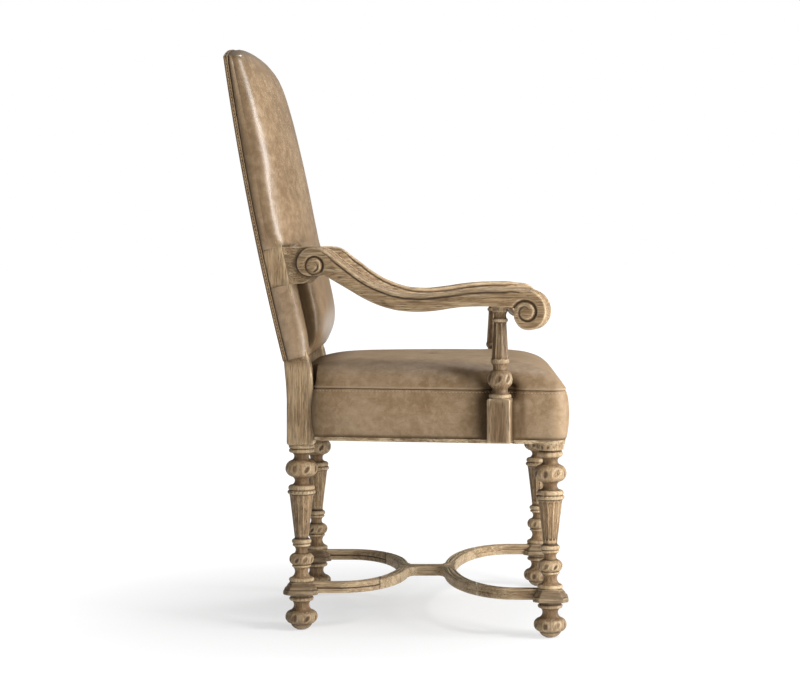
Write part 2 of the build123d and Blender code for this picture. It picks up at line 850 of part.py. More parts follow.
def seam_plane(half_span, depth, centre, seam):
    """Plane across the bow at its seam, square to the bow, on the +X side."""
    reach = seam - centre
    x = bow_x(half_span, depth, reach)
    along = Vector(-reach / depth**2, x / half_span**2, 0).normalized()
    origin = Vector(x, seam, bar_tenon_z)
    return Plane(
        origin=origin - along * seam_dowel_length / 2, x_dir=(0, 0, 1), z_dir=along
    )


def bow(span, depth, centre, face, open_side):
    """Plan of one bow: half an elliptical ring, run straight on to the plinths."""
    with BuildSketch() as plan:
        with Locations((0, centre)):
            Ellipse(span + half_width, depth + half_width)
            Ellipse(span - half_width, depth - half_width, mode=Mode.SUBTRACT)
        with Locations((0, centre + open_side * depth)):
            Rectangle(3 * span, 2 * depth, mode=Mode.SUBTRACT)
        with Locations((span, (centre + face) / 2), (-span, (centre + face) / 2)):
            Rectangle(stretcher_width, abs(face - centre))
    return plan.sketch


seams = (
    seam_plane(front_bow_half_width, front_bow_depth, front_bow_y, front_seam),
    seam_plane(rear_bow_half_width, rear_bow_depth, rear_bow_y, rear_seam),
)
with BuildPart() as seam_holes:
    for plane in seams:
        rod(
            plane.offset(-joint_gap),
            seam_dowel_radius + joint_gap,
            seam_dowel_length + 2 * joint_gap,
        )
    mirror(about=Plane.YZ)

with BuildPart() as stretcher:
    with BuildSketch(Plane.XY.offset(stretcher_z)) as stretcher_plan:
        add(bow(front_bow_half_width, front_bow_depth, front_bow_y, front_bar_face, -1))
        add(bow(rear_bow_half_width, rear_bow_depth, rear_bow_y, rear_bar_face, 1))
        with Locations((0, neck_y)):
            Rectangle(neck_width, neck_length)
        neck_corners = [
            corner
            for corner in stretcher_plan.vertices()
            if abs(abs(corner.X) - neck_width / 2) < 1e-3 and abs(corner.Y - neck_y) < neck_length / 2
        ]
        fillet(neck_corners, neck_fillet)
    extrude(amount=stretcher_height)
    fillet(stretcher.faces().sort_by(Axis.Z)[-1].edges(), stretcher_edge)
    for span, face, into in (
        (front_bow_half_width, front_bar_face, -1),
        (rear_bow_half_width, rear_bar_face, 1),
    ):
        for side in (-1, 1):
            with Locations((side * span, face + into * bar_tenon_length / 2, bar_tenon_z)):
                Box(bar_tenon_width, bar_tenon_length, bar_tenon_height)
    add(seam_holes.part, mode=Mode.SUBTRACT)

front_cut = Plane(origin=(0, front_seam, 0), z_dir=(0, 1, 0))
rear_cut = Plane(origin=(0, rear_seam, 0), z_dir=(0, 1, 0))
with BuildPart() as stretcher_knot:
    add(stretcher.part)
    split(bisect_by=front_cut, keep=Keep.TOP)
    split(bisect_by=rear_cut, keep=Keep.BOTTOM)
keep(stretcher_knot.part, "stretcher_knot")

for end, cut, kept in (("front", front_cut, Keep.BOTTOM), ("rear", rear_cut, Keep.TOP)):
    with BuildPart() as stretcher_bar:
        add(stretcher.part)
        split(bisect_by=cut, keep=kept)
        split(bisect_by=Plane.YZ, keep=Keep.TOP)
    keep_pair(stretcher_bar.part, f"stretcher_bar_{end}")

with BuildPart() as seam_dowels:
    for plane in seams:
        rod(plane, seam_dowel_radius, seam_dowel_length)
keep(both_sides(seam_dowels.part), "stretcher_dowels")

# Seat upholstery. Room for the rear posts and the arm posts, cut through all the upholstery of the seat
post_room_height = 4 * rail_height
with BuildPart() as post_room:
    reach = seat_corner_radius + block_size
    inner = rear_leg_x - half_block - cloth_gap
    with Locations((inner, rear_leg_y - half_block - cloth_gap, rail_z)):
        Box(2 * reach, 2 * reach, post_room_height, align=(Align.MIN, Align.MIN, Align.CENTER))
    with Locations(post_plane(rail_z)):
        with Locations((-slot_inside, 0, 0)):
            Box(
                2 * post_block,
                2 * slot_half_width,
                post_room_height,
                align=(Align.MIN, Align.CENTER, Align.CENTER),
            )
    mirror(about=Plane.YZ)

with BuildPart() as moulding:
    extrude(seat_outline(rail_z, 0.0), amount=moulding_height)
    extrude(
        seat_outline(rail_z, moulding_thickness), amount=moulding_height, mode=Mode.SUBTRACT
    )
    add(post_room.part, mode=Mode.SUBTRACT)
keep(moulding.part, "seat_moulding")

with BuildPart() as border:
    loft([seat_outline(rail_z + height, inset) for height, inset in border_sections])
    loft(
        [seat_outline(rail_z + height, inset + leather) for height, inset in border_sections],
        mode=Mode.SUBTRACT,
    )
    add(post_room.part, mode=Mode.SUBTRACT)
keep(border.part, "seat_border_leather")


def crown(drop):
    """Outlines of the crowned top of the seat, a distance inside its leather."""
    return [
        seat_outline(rail_z + height - drop, inset + drop) for height, inset in crown_sections
    ]


with BuildPart() as seat_top:
    loft(crown(0.0))
    loft(crown(leather), mode=Mode.SUBTRACT)
    add(post_room.part, mode=Mode.SUBTRACT)
keep(seat_top.part, "seat_top_leather")

with BuildPart() as seat_pad:
    extrude(seat_outline(pad_z, pad_gap), amount=rail_z + crown_sections[0][0] - pad_gap - pad_z)
    loft(crown(pad_gap))
    add(post_room.part, mode=Mode.SUBTRACT)
keep(seat_pad.part, "seat_pad")

with BuildPart() as deck:
    extrude(seat_outline(deck_z, deck_inset), amount=deck_thickness)
    add(post_room.part, mode=Mode.SUBTRACT)
keep(deck.part, "seat_deck")

with BuildPart() as long_webbing:
    strap_front = front_rail_y - rail_thickness / 2 + strap_end
    strap_rear = rear_rail_y + rail_thickness / 2 - strap_end
    with Locations((0, (strap_front + strap_rear) / 2, rail_top)):
        with GridLocations(strap_pitch, 1, long_straps, 1):
            Box(
                strap_width,
                strap_rear - strap_front,
                strap_thickness,
                align=(Align.CENTER, Align.CENTER, Align.MIN),
            )
keep(long_webbing.part, "seat_webbing_long")

with BuildPart() as cross_webbing:
    first = (rear_leg_y + front_leg_y - (cross_straps - 1) * strap_pitch) / 2
    for index in range(cross_straps):
        strap_y = first + index * strap_pitch
        narrow = beside_axis(strap_y + strap_width / 2, rail_outside - strap_end - post_housing)
        with Locations((0, strap_y, rail_top + strap_thickness)):
            Box(
                2 * narrow,
                strap_width,
                strap_thickness,
                align=(Align.CENTER, Align.CENTER, Align.MIN),
            )
keep(cross_webbing.part, "seat_webbing_cross")

with BuildPart() as dust_cover:
    extrude(
        seat_outline(rail_z - dust_cover_thickness, dust_cover_inset),
        amount=dust_cover_thickness,
    )
    corner = block_size + 2 * joint_gap
    for leg_x, leg_y in ((front_leg_x, front_leg_y), (rear_leg_x, rear_leg_y)):
        for side in (-1, 1):
            with Locations((side * leg_x, leg_y, rail_z)):
                Box(corner, corner, rail_height, mode=Mode.SUBTRACT)
    add(post_room.part, mode=Mode.SUBTRACT)
keep(dust_cover.part, "dust_cover")


def keep_under_arch(half, side_z, rise):
    """Keeps what lies under an arch across the chair."""
    with BuildSketch(Plane.XZ) as arch:
        with BuildLine():
            wide = half + half_block
            ThreePointArc((-half, side_z), (0, side_z + rise), (half, side_z))
            Polyline(
                (half, side_z),
                (wide, side_z),
                (wide, rail_z),
                (-wide, rail_z),
                (-wide, side_z),
                (-half, side_z),
            )
        make_face()
    extrude(arch.sketch, amount=2 * leg_run, both=True, mode=Mode.INTERSECT)


# Frame of the back
with BuildPart() as crest_rail:
    with BuildSketch(side_plane(0)):
        with BuildLine():
            feet = frame_profile(stile_front, stile_behind, crest_z)
            Line(*feet)
        make_face()
    extrude(amount=rear_shoulder, both=True)
    keep_under_arch(rear_shoulder, stile_top, crest_rise)
    back_rail_box(
        crest_tenon_z,
        crest_tenon_height,
        rear_shoulder + back_tenon_length,
        depth=back_tenon_depth,
    )
keep(crest_rail.part, "back_crest_rail")

with BuildPart() as lower_rail:
    back_rail_box(lower_rail_z, lower_rail_height, rear_shoulder)
    back_rail_box(
        lower_rail_z,
        lower_rail_height - 2 * tenon_shoulder,
        rear_shoulder + back_tenon_length,
        depth=back_tenon_depth,
    )
keep(lower_rail.part, "back_lower_rail")

# Webbing strained from the lower rail to the crest rail
strap_foot = back_edge(stile_front, lower_rail_z)
strap_head = back_edge(stile_front, crest_z + crest_foot)
with BuildPart() as back_webbing:
    for index in range(back_strap_count):
        with BuildSketch(side_plane((index - (back_strap_count - 1) / 2) * back_strap_pitch)):
            with BuildLine():
                Polyline(
                    (strap_foot[0] - cloth_gap, strap_foot[1]),
                    (strap_head[0] - cloth_gap, strap_head[1]),
                    (strap_head[0] - cloth_gap - strap_thickness, strap_head[1]),
                    (strap_foot[0] - cloth_gap - strap_thickness, strap_foot[1]),
                    close=True,
                )
            make_face()
        extrude(amount=strap_width / 2, both=True)
keep(back_webbing.part, "back_webbing")

# Back upholstery
back_levels = [(back_z + height, *rest) for height, *rest in back_foot_sections]
back_levels += [(stile_top + height, *rest) for height, *rest in back_head_sections]
back_top = back_levels[-1][0]
arch_z = back_top - back_arch_rise


def back_form(inset):
    """Sections of the upholstered back, from the rear of its frame forwards, inside its leather."""
    half = half_back - inset
    sections = []
    for z, side_depth, crown_depth, corner in back_levels:
        rear = rake(z) - stile_behind
        side = rake(z) - side_depth + inset
        front = rake(z) - crown_depth + inset
        radius = corner - inset
        bulge = radius * (sqrt(2) - 1) / sqrt(2)
        with BuildSketch(Plane.XY.offset(z)) as section:
            with BuildLine():
                Polyline((-half, side + radius), (-half, rear), (half, rear), (half, side + radius))
                SagittaArc((half, side + radius), (half - radius, side), bulge)
                ThreePointArc((half - radius, side), (0, front), (radius - half, side))
                SagittaArc((radius - half, side), (-half, side + radius), bulge)
            make_face()
        sections.append(section.sketch)
    return sections


# Room for the joint of each arm and stile, cut through the upholstery of the back
with BuildPart() as arm_room:
    with Locations(rake_plane(arm_root_z, stile_behind)):
        with Locations((rear_leg_x + half_block, 0, -cloth_gap)):
            Box(
                half_block,
                arm_root_height + 2 * cloth_gap,
                stile_depth + cloth_gap,
                align=(Align.MIN, Align.CENTER, Align.MIN),
            )
    with BuildSketch(arm_plane.offset(-arm_width)):
        with Locations((-arm_run, arm_root_rise - cloth_gap)):
            Rectangle(
                2 * arm_root_length,
                arm_root_height + 2 * cloth_gap,
                align=(Align.CENTER, Align.MIN),
            )
    extrude(amount=3 * arm_width / 2 + cloth_gap)
    mirror(about=Plane.YZ)

with BuildPart() as back_inside:
    loft(back_form(leather), ruled=True)
    keep_under_arch(half_back, arch_z - leather, back_arch_rise)

with BuildPart() as back_leather:
    loft(back_form(0.0), ruled=True)
    keep_under_arch(half_back, arch_z, back_arch_rise)
    add(back_inside.part, mode=Mode.SUBTRACT)
    add(arm_room.part, mode=Mode.SUBTRACT)
keep(back_leather.part, "back_leather")

with BuildPart() as frame_room:
    with BuildSketch(side_plane(0)):
        with BuildLine():
            feet = frame_profile(stile_front + cloth_gap, 0.0, rebate_z)
            Line(*feet)
        make_face()
    extrude(amount=2 * half_back, both=True)
    with BuildSketch(side_plane(0)):
        with BuildLine():
            front = strap_thickness + 2 * cloth_gap
            Polyline(
                (strap_foot[0], strap_foot[1] - cloth_gap),
                (strap_head[0] + stile_depth / 2, strap_head[1] + cloth_gap),
                (strap_head[0] - front, strap_head[1] + cloth_gap),
                (strap_foot[0] - front, strap_foot[1] - cloth_gap),
                close=True,
            )
        make_face()
    extrude(amount=rear_shoulder, both=True)
    keep_under_arch(2 * half_back, stile_top + cloth_gap, crest_rise)

with BuildPart() as back_pad:
    loft(back_form(pad_gap), ruled=True)
    keep_under_arch(half_back, arch_z - pad_gap, back_arch_rise)
    add(frame_room.part, mode=Mode.SUBTRACT)
    add(arm_room.part, mode=Mode.SUBTRACT)
keep(back_pad.part, "back_pad")

# Outside back panel, and the double welt that closes its edge
welt_span = 2 * welt_radius + 2 * cloth_gap
welt_lean = welt_pitch / 2 * sin(radians(rake_angle))  # one cord stands higher than the other
welt_x = half_back - welt_radius
welt_low = back_z + welt_radius + welt_lean
welt_high = arch_z - welt_radius
welt_depth = stile_behind - cloth_gap - welt_radius - welt_pitch / 2
with BuildPart() as back_panel:
    with BuildSketch(side_plane(0)):
        with BuildLine():
            low = welt_low + welt_radius + welt_lean + cloth_gap
            middle = (low + back_top) / 2
            outer = stile_behind - cloth_gap - panel_thickness
            inner = stile_behind - cloth_gap
            for depth in (outer, inner):
                ThreePointArc(
                    back_edge(depth, low), back_edge(depth, middle), back_edge(depth, back_top)
                )
            for z in (low, back_top):
                Line(back_edge(outer, z), back_edge(inner, z))
        make_face()
    extrude(amount=half_back - welt_span, both=True)
    keep_under_arch(half_back, arch_z - welt_span, back_arch_rise)
keep(back_panel.part, "back_panel")


def welt_cords(path):
    """Runs the two cords of the welt along a path, one behind the other."""
    start = path.line @ 0
    along = path.line % 0
    across = rake_plane(start.Z, 0).z_dir
    side = along.cross(across)
    with BuildSketch(Plane(origin=start, x_dir=side, z_dir=along)) as cords:
        with Locations((0, -welt_pitch / 2), (0, welt_pitch / 2)):
            Circle(welt_radius)
    sweep(cords.sketch, path=path.line)


with BuildPart() as back_welt:
    with BuildLine(side_plane(welt_x)) as side_path:
        low = welt_low + welt_radius + cloth_gap
        high = welt_high - welt_radius - cloth_gap
        ThreePointArc(
            back_edge(welt_depth, low),
            back_edge(welt_depth, (low + high) / 2),
            back_edge(welt_depth, high),
        )
    welt_cords(side_path)
    mirror(about=Plane.YZ)
    with BuildLine(rake_plane(welt_high, welt_depth)) as top_path:
        ThreePointArc((-half_back, 0), (0, back_arch_rise), (half_back, 0))
    welt_cords(top_path)
    with BuildLine(rake_plane(welt_low, welt_depth)) as bottom_path:
        Line((-half_back, 0), (half_back, 0))
    welt_cords(bottom_path)
keep(back_welt.part, "back_welt")
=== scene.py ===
from bisect import bisect_right
from math import atan, atan2, cos, exp, hypot, pi, radians, sin, sqrt

import bmesh
import bpy
import numpy as np
from bpy.props import FloatProperty, FloatVectorProperty, IntProperty, PointerProperty
from mathutils import Matrix, Vector


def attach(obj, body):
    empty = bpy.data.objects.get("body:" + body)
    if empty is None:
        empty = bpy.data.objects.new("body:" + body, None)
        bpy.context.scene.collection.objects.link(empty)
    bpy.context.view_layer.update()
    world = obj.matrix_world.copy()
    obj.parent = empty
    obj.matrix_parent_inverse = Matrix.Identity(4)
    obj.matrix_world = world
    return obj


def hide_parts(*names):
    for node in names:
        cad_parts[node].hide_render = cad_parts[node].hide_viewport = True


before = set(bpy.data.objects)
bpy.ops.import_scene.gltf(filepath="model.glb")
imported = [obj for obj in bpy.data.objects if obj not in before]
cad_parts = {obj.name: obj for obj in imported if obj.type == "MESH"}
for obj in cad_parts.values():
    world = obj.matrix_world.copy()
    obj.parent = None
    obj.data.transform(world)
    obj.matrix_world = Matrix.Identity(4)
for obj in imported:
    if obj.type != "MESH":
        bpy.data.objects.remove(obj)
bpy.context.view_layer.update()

bl_info = {
    "name": "Dining Armchair",
    "version": (1, 0, 0),
    "blender": (4, 5, 0),
    "location": "View3D > Sidebar > Armchair",
    "description": "Dresses the packed armchair with turned oak, carved scrolls and sewn leather",
    "category": "Object",
}

# Meshes are drawn in the part's millimetres and scaled to metres at the end
MM = 0.001
both_sides = (("left", 1), ("right", -1))

# Plan and heights of the chair, as in the part
front_leg_x, front_leg_y = 292.0, -300.0
rear_leg_x, rear_leg_y = 210.0, 180.4
foot_z, leg_z, rear_block_z, rear_block_top = 2.0, 93.0, 360.0, 522.5
half_block = 27.0
front_block_half, front_block_low, front_block_high = 21.5, 369.0, 444.0
plinth_half, plinth_cant = 34.0, 23.0
post_x, post_y = 310.3, -204.0
post_block_half, post_block_top = 22.5, 457.0
back_z, stile_top, back_top = 521.0, 1088.0, 1143.0
back_arch_rise = 29.0
half_back = 239.3
stile_behind, stile_front = 10.5, 50.5
splay = atan2(front_leg_x - rear_leg_x, rear_leg_y - front_leg_y)
arm_turn = radians(13.66)
arm_run, arm_half, arm_root_z = 424.7, 27.0, 708.5
neck_y = -59.8
joint_gap = 0.3
seat_front, seat_rear = -329.0, 203.4

# Rake of the back: how far its foot stands behind the leg, its slope there, and how slowly it straightens
back_set, back_slope, back_bend = 35.0, 0.25062, 5430.0

# Turnings: the radius that each starts from, then (height, radius at the top, swell of the curve between)
foot_base, leg_base, post_base = 12.0, 21.0, 19.0
foot_turning = (
    (10.0, 21.0, 1.5),
    (25.0, 22.5, 9.6),
    (19.5, 19.0, -5.7),
    (7.0, 21.5, 3.6),
    (6.5, 24.0, -1.0),
)
leg_turning = (
    (8.0, 21.0, 3.5),
    (20.0, 16.5, -5.6),
    (5.0, 16.5, 2.0),
    (22.0, 14.0, 8.4),
    (13.5, 14.5, -2.8),
    (5.5, 15.5, 2.5),
    (9.0, 15.0, 3.8),
    (5.5, 13.8, -1.0),
    (82.0, 23.7, 0.0),
    (7.5, 23.5, 3.8),
    (10.0, 20.0, 4.0),
    (16.0, 18.5, -5.9),
    (32.0, 19.5, 12.3),
    (15.0, 20.0, -5.4),
)
front_capital = ((11.0, 21.5, 3.6), (3.0, 26.0, -0.8), (12.0, 27.0, 0.7))
rear_capital = ((8.0, 21.5, 4.0), (8.0, 22.0, 3.3))
post_turning = (
    (8.0, 19.0, 2.6),
    (12.0, 16.5, -3.2),
    (33.0, 14.7, 8.4),
    (13.0, 16.2, -2.2),
    (10.0, 16.6, 1.4),
    (68.0, 12.4, 0.0),
    (8.0, 12.6, 2.6),
    (13.0, 15.0, -2.0),
    (9.0, 17.6, -0.7),
)

# Carving: heights of the balls, the beads and the flutes
foot_ball_z, lower_ball_z, upper_ball_z, post_ball_z = 24.0, 136.0, 313.0, 494.0
leg_bead_z, front_bead_z = 268.0, 364.0
leg_flutes, post_flutes = (184.5, 261.0), (530.0, 600.0)

# Rear post above its leg: (height, Y) of its front and of its rear
rear_block_front = ((360, 153.4), (420, 153.4), (448, 154.2), (477, 156.4), (503, 159.5), (521, 163.6), (540, 169.2))
rear_block_rear = ((360, 207.4), (440, 207.4), (470, 208.4), (500, 211.0), (521, 212.9))

# Plinth: (height, inset from its outline)
plinth_profile = (
    (70.0, 2.2), (70.8, 0.9), (72.0, 0.2), (73.5, 0.0), (77.0, 0.0), (78.2, 0.3), (78.9, 1.2), (79.2, 2.6),
    (80.2, 3.2), (82.0, 3.9), (84.5, 5.4), (86.8, 7.4), (88.6, 9.4), (90.2, 10.4), (91.4, 10.8), (93.0, 11.0),
)

# Arm, along its length from the axis of the arm post: underside and edge bead
arm_bottom = (
    (-360, 700), (-346, 691), (-317, 675), (-292, 661), (-267, 647), (-241, 635), (-216, 627), (-191, 622),
    (-158, 620), (-126, 622), (-101, 626), (-70, 630), (-52, 631), (-23, 631.6), (0, 631), (37, 629), (60, 628),
)
arm_bead = (
    (-360, 744), (-350, 742), (-338, 736), (-325, 726), (-302, 709), (-279, 692), (-254, 677), (-228, 666),
    (-203, 658), (-177, 654), (-151, 653), (-114, 656), (-77, 661), (-52, 664), (-21, 666), (25, 666.5), (50, 664),
    (65, 660),
)

# Scrolls: (angle, radius) of the outline about the eye, and of the spiral cut in each face, with its depth
front_eye = (54.5, 623.2)
front_scroll = (
    (-180, 21.5), (-171, 22.6), (-151.5, 25.4), (-130, 28.4), (-115.5, 31.4), (-97, 34.4), (-75.7, 36.6),
    (-54.6, 38.4), (-33, 39.2), (-12.7, 39.6), (9.9, 39.6), (31.9, 39.7), (51.4, 40.2), (76.7, 40.8), (110, 38),
    (140, 31), (162, 23), (180, 21.5),
)
front_spiral = (
    (-330, 6.4), (-270, 8.4), (-210, 10.4), (-149, 13.8), (-102, 17.2), (-63, 19.6), (-5, 19.8), (40, 19.4), (80, 19.2),
    (120, 20.6), (165, 23.0),
)
front_spiral_depth = (
    (-330, 0.2), (-270, 1.2), (-210, 1.7), (-149, 2.2), (-102, 3.2), (-63, 4.2), (-5, 4.6), (80, 4.0), (120, 3.8),
    (165, 3.4),
)
rear_eye = (-366.0, 709.0)
rear_scroll = (
    (-180, 31), (-150, 28), (-120, 23.5), (-90, 21.5), (-60, 22), (-20, 26), (20, 31), (60, 34), (90, 34.5), (120, 34),
    (150, 32.5), (180, 31),
)
rear_boss = (-362.0, 708.0)
rear_spiral = (
    (-180, 16.6), (-120, 16.8), (-60, 17.0), (0, 17.2), (60, 16.8), (120, 16.6), (180, 16.4), (240, 14.4), (300, 10.2),
    (360, 7.8), (420, 6.4), (480, 5.4),
)
rear_spiral_depth = (
    (-180, 0.0), (-150, 1.2), (-90, 3.6), (-30, 4.8), (40, 4.6), (100, 2.8), (180, 2.0), (240, 1.8), (300, 2.0),
    (360, 1.2), (420, 0.5), (480, 0.1),
)

# Stretcher: centre lines of the two bows, and the joints of the bars to the knot
front_bow_y, front_bow_x, front_bow_depth, front_seam_y = -236.3, 283.0, 129.0, -160.6
rear_bow_y, rear_bow_x, rear_bow_depth, rear_seam_y = 105.7, 208.0, 118.0, 28.4
bar_low, bar_high, bar_width, neck_width = 71.25, 91.75, 24.0, 27.0
# Half of its moulded section, from the middle below to the middle above: (share of the half width, height)
bar_section = (
    (0.0, 71.25), (0.5, 71.25), (0.86, 71.25), (0.96, 71.6), (1.0, 72.8), (1.0, 75.5), (1.0, 78.0), (0.985, 78.9),
    (0.93, 79.8), (0.89, 80.9), (0.91, 82.0), (0.98, 82.8), (1.0, 83.8), (1.0, 86.0), (0.985, 88.2), (0.93, 90.2),
    (0.83, 91.4), (0.70, 91.75), (0.61, 91.4), (0.55, 90.2), (0.50, 88.9), (0.43, 88.4), (0.37, 88.9), (0.32, 90.2),
    (0.25, 91.3), (0.12, 91.7), (0.0, 91.75),
)

# Seat border, up from the moulding: (height, how far it stands out), with None where it swells between its seams
seat_border = (
    (376.6, -6.0), (377.4, -2.0), (378.4, 0.4), (380.5, 1.6), *((384.0 + 6.5 * k, None) for k in range(13)),
    (467.5, 1.5), (469.3, 1.0), (470.4, -0.4), (471.2, -0.9), (472.0, 0.2), (473.0, 1.2), (474.2, 1.5),
    (475.4, 1.2), (476.4, 0.0), (477.4, -0.6),
)
# That swell: where it starts, how high it reaches and how far it stands out
border_low, border_rise, border_swell = 377.5, 97.0, 5.4
# Seat crown: (distance from the seam, height)
crown_profile = (
    (-5.0, 465.0), (0.0, 474.5), (4.0, 483.5), (11.0, 492.0), (21.0, 501.0), (34.0, 509.0), (63.0, 517.0),
    (101.0, 522.0), (170.0, 525.0), (300.0, 525.5),
)

# Back: depth in front of its rear edge, up the back, at the crown and at the side corners
back_crown = (
    (521.0, 54.0), (526.8, 68.4), (538.6, 77.6), (566.0, 94.7), (601.7, 102.6), (724.8, 102.2), (816.5, 102.4),
    (968.0, 95.6), (1040.0, 88.0), (1073.0, 82.6), (1085.7, 78.6), (1103.0, 68.0), (1121.6, 53.0), (1135.0, 37.0),
    (1141.0, 26.0), (1143.0, 20.0),
)
back_corner = (
    (521.0, 52.0), (540.0, 56.0), (566.0, 59.0), (654.0, 60.5), (775.0, 59.5), (830.0, 61.0), (870.0, 62.5),
    (920.0, 65.0), (974.0, 63.5), (1030.0, 58.5), (1060.0, 54.0), (1085.0, 49.5), (1110.0, 45.0), (1130.0, 41.0),
    (1138.0, 37.0), (1141.0, 32.0), (1143.0, 25.0),
)
# How the front leaves the side corner: (share of the way to the middle, share of the crown's depth),
# in a deep fold below the arm and full above it
folded_front = (
    (0.0, 0.0), (0.012, -0.10), (0.028, -0.24), (0.045, -0.26), (0.062, -0.02), (0.080, 0.30), (0.105, 0.50),
    (0.15, 0.66), (0.24, 0.82), (0.42, 0.94), (0.7, 1.0), (1.0, 1.0),
)
# Levels between which the wood of the stile is bare beside the arm
patch_low, patch_high = 661.5, 736.0

# Stage, in metres: softboxes as (name, place, size, power), and a level camera whose shift keeps uprights upright
softboxes = (
    ("high_softbox", (-1.2, -1.6, 2.1), (0.6, 0.6), 33.0),
    ("top_softbox", (0.9, -0.3, 2.6), (0.5, 0.5), 13.0),
    ("front_softbox", (-0.9, -3.0, 1.1), (1.1, 2.2), 82.0),
    ("side_softbox", (-1.8, -1.3, 0.28), (1.0, 0.8), 22.0),
)
light_aim, room_light = Vector((0.0, -0.05, 0.6)), 0.26
floor_half = 40.0
camera_place, camera_lens, camera_shift = (-4.2, -0.1236, 0.7554), 92.2, (-0.0721, -0.1275)


# Curves and paths

def smooth_curve(points):
    """Smooth curve through (place, value) points, as a function of the place."""
    places = [float(p) for p, _ in points]
    values = [float(v) for _, v in points]
    steps = [(values[k + 1] - values[k]) / (places[k + 1] - places[k]) for k in range(len(points) - 1)]
    slopes = [steps[0]]
    for before, after in zip(steps, steps[1:]):
        slopes.append(0.0 if before * after <= 0 else 2 * before * after / (before + after))
    slopes.append(steps[-1])

    def value(place):
        if place <= places[0]:
            return values[0]
        if place >= places[-1]:
            return values[-1]
        k = bisect_right(places, place) - 1
        span = places[k + 1] - places[k]
        t = (place - places[k]) / span
        rise = values[k + 1] - values[k]
        a = slopes[k] * span - rise
        b = rise - slopes[k + 1] * span
        return values[k] + t * rise + t * (1 - t) * (a * (1 - t) + b * t)

    return value


def arc(start, end, swell, step=1.6):
    """Points after the start of a circular arc between two (height, radius) points."""
    along = Vector(end) - Vector(start)
    length = along.length
    count = max(2, round((length + abs(swell)) / step))
    along.normalize()
    out = Vector((-along.y, along.x))
    middle = (Vector(start) + Vector(end)) / 2
    if abs(swell) < 1e-6:
        return [tuple(Vector(start).lerp(Vector(end), k / count)) for k in range(1, count + 1)]
    half_angle = 2 * atan(2 * abs(swell) / length)
    radius = length / 2 / sin(half_angle)
    points = []
    for k in range(1, count + 1):
        a = half_angle * (2 * k / count - 1)
        lift = radius * (cos(a) - cos(half_angle)) * (1 if swell > 0 else -1)
        points.append(tuple(middle + along * radius * sin(a) + out * lift))
    return points


def even_path(points, step):
    """A path through points, divided into even steps."""
    lengths = [0.0]
    for a, b in zip(points, points[1:]):
        lengths.append(lengths[-1] + (Vector(b) - Vector(a)).length)
    count = max(2, round(lengths[-1] / step))
    path = []
    for k in range(count + 1):
        want = lengths[-1] * k / count
        j = min(bisect_right(lengths, want), len(points) - 1)
        span = lengths[j] - lengths[j - 1]
        t = (want - lengths[j - 1]) / span if span else 0.0
        path.append(Vector(points[j - 1]).lerp(Vector(points[j]), t))
    return path


def rounded_path(corners, step):
    """Open path through (x, y, radius) corners with each corner rounded."""
    points = [Vector(corners[0][:2])]
    for before, (x, y, radius), after in zip(corners, corners[1:], corners[2:]):
        corner = Vector((x, y))
        a = (Vector(before[:2]) - corner).normalized()
        b = (Vector(after[:2]) - corner).normalized()
        half = a.angle(b) / 2
        reach = radius / sin(half) * cos(half)
        middle = corner + (a + b).normalized() * radius / sin(half)
        start, end = corner + a * reach - middle, corner + b * reach - middle
        for k in range(13):
            spoke = start.lerp(end, k / 12)
            points.append(middle + spoke.normalized() * radius)
    points.append(Vector(corners[-1][:2]))
    return even_path(points, step)


def fade(value, low, high):
    """0 below low, 1 above high, smooth between."""
    t = min(1.0, max(0.0, (value - low) / (high - low)))
    return t * t * (3 - 2 * t)


def hump(away, reach):
    """1 in the middle, falling smoothly to 0 away from it."""
    return exp(-((away / reach) ** 2))


def rake(z):
    """Y of the rear edge of the back at a height."""
    rise = z - back_z
    return rear_leg_y + back_set + rise * back_slope - rise * rise / (2 * back_bend)


def back_lean(z):
    """How far the back leans from upright at a height."""
    return atan(back_slope - (z - back_z) / back_bend)


def back_point(x, depth, z):
    """A point at a depth in front of the rear edge of the back, square to it."""
    slope = back_lean(z)
    return x, rake(z) - depth * cos(slope), z + depth * sin(slope)


def arm_point(run, across, z):
    """A point of the left arm: along it from the arm post, across it inwards, and its height."""
    return (
        post_x + run * sin(arm_turn) - across * cos(arm_turn),
        post_y - run * cos(arm_turn) - across * sin(arm_turn),
        z,
    )


def seat_side_x(y, offset):
    """X of a line outside the line through the leg axes of the left side."""
    along = (y - front_leg_y) / (rear_leg_y - front_leg_y)
    return front_leg_x + (rear_leg_x - front_leg_x) * along + offset / cos(splay)


# Making meshes

def ring_skin(bm, count, levels, place):
    """Grows a skin ring by ring and closes its ends; place(index, level) puts each point of a ring."""
    number = bm.verts.layers.int.get("number") or bm.verts.layers.int.new("number")
    verts = [bm.verts.new(place(i, levels[0])) for i in range(count)]
    for i, v in enumerate(verts):
        v[number] = i
    edges = [bm.edges.new((verts[i], verts[(i + 1) % count])) for i in range(count)]
    bmesh.ops.edgeloop_fill(bm, edges=edges)
    for level in levels[1:]:
        grown = bmesh.ops.extrude_edge_only(bm, edges=edges)["geom"]
        verts = [part for part in grown if isinstance(part, bmesh.types.BMVert)]
        fresh = set(verts)
        edges = [
            part for part in grown
            if isinstance(part, bmesh.types.BMEdge) and part.verts[0] in fresh and part.verts[1] in fresh
        ]
        for v in verts:
            v.co = place(v[number], level)
    bmesh.ops.edgeloop_fill(bm, edges=edges)


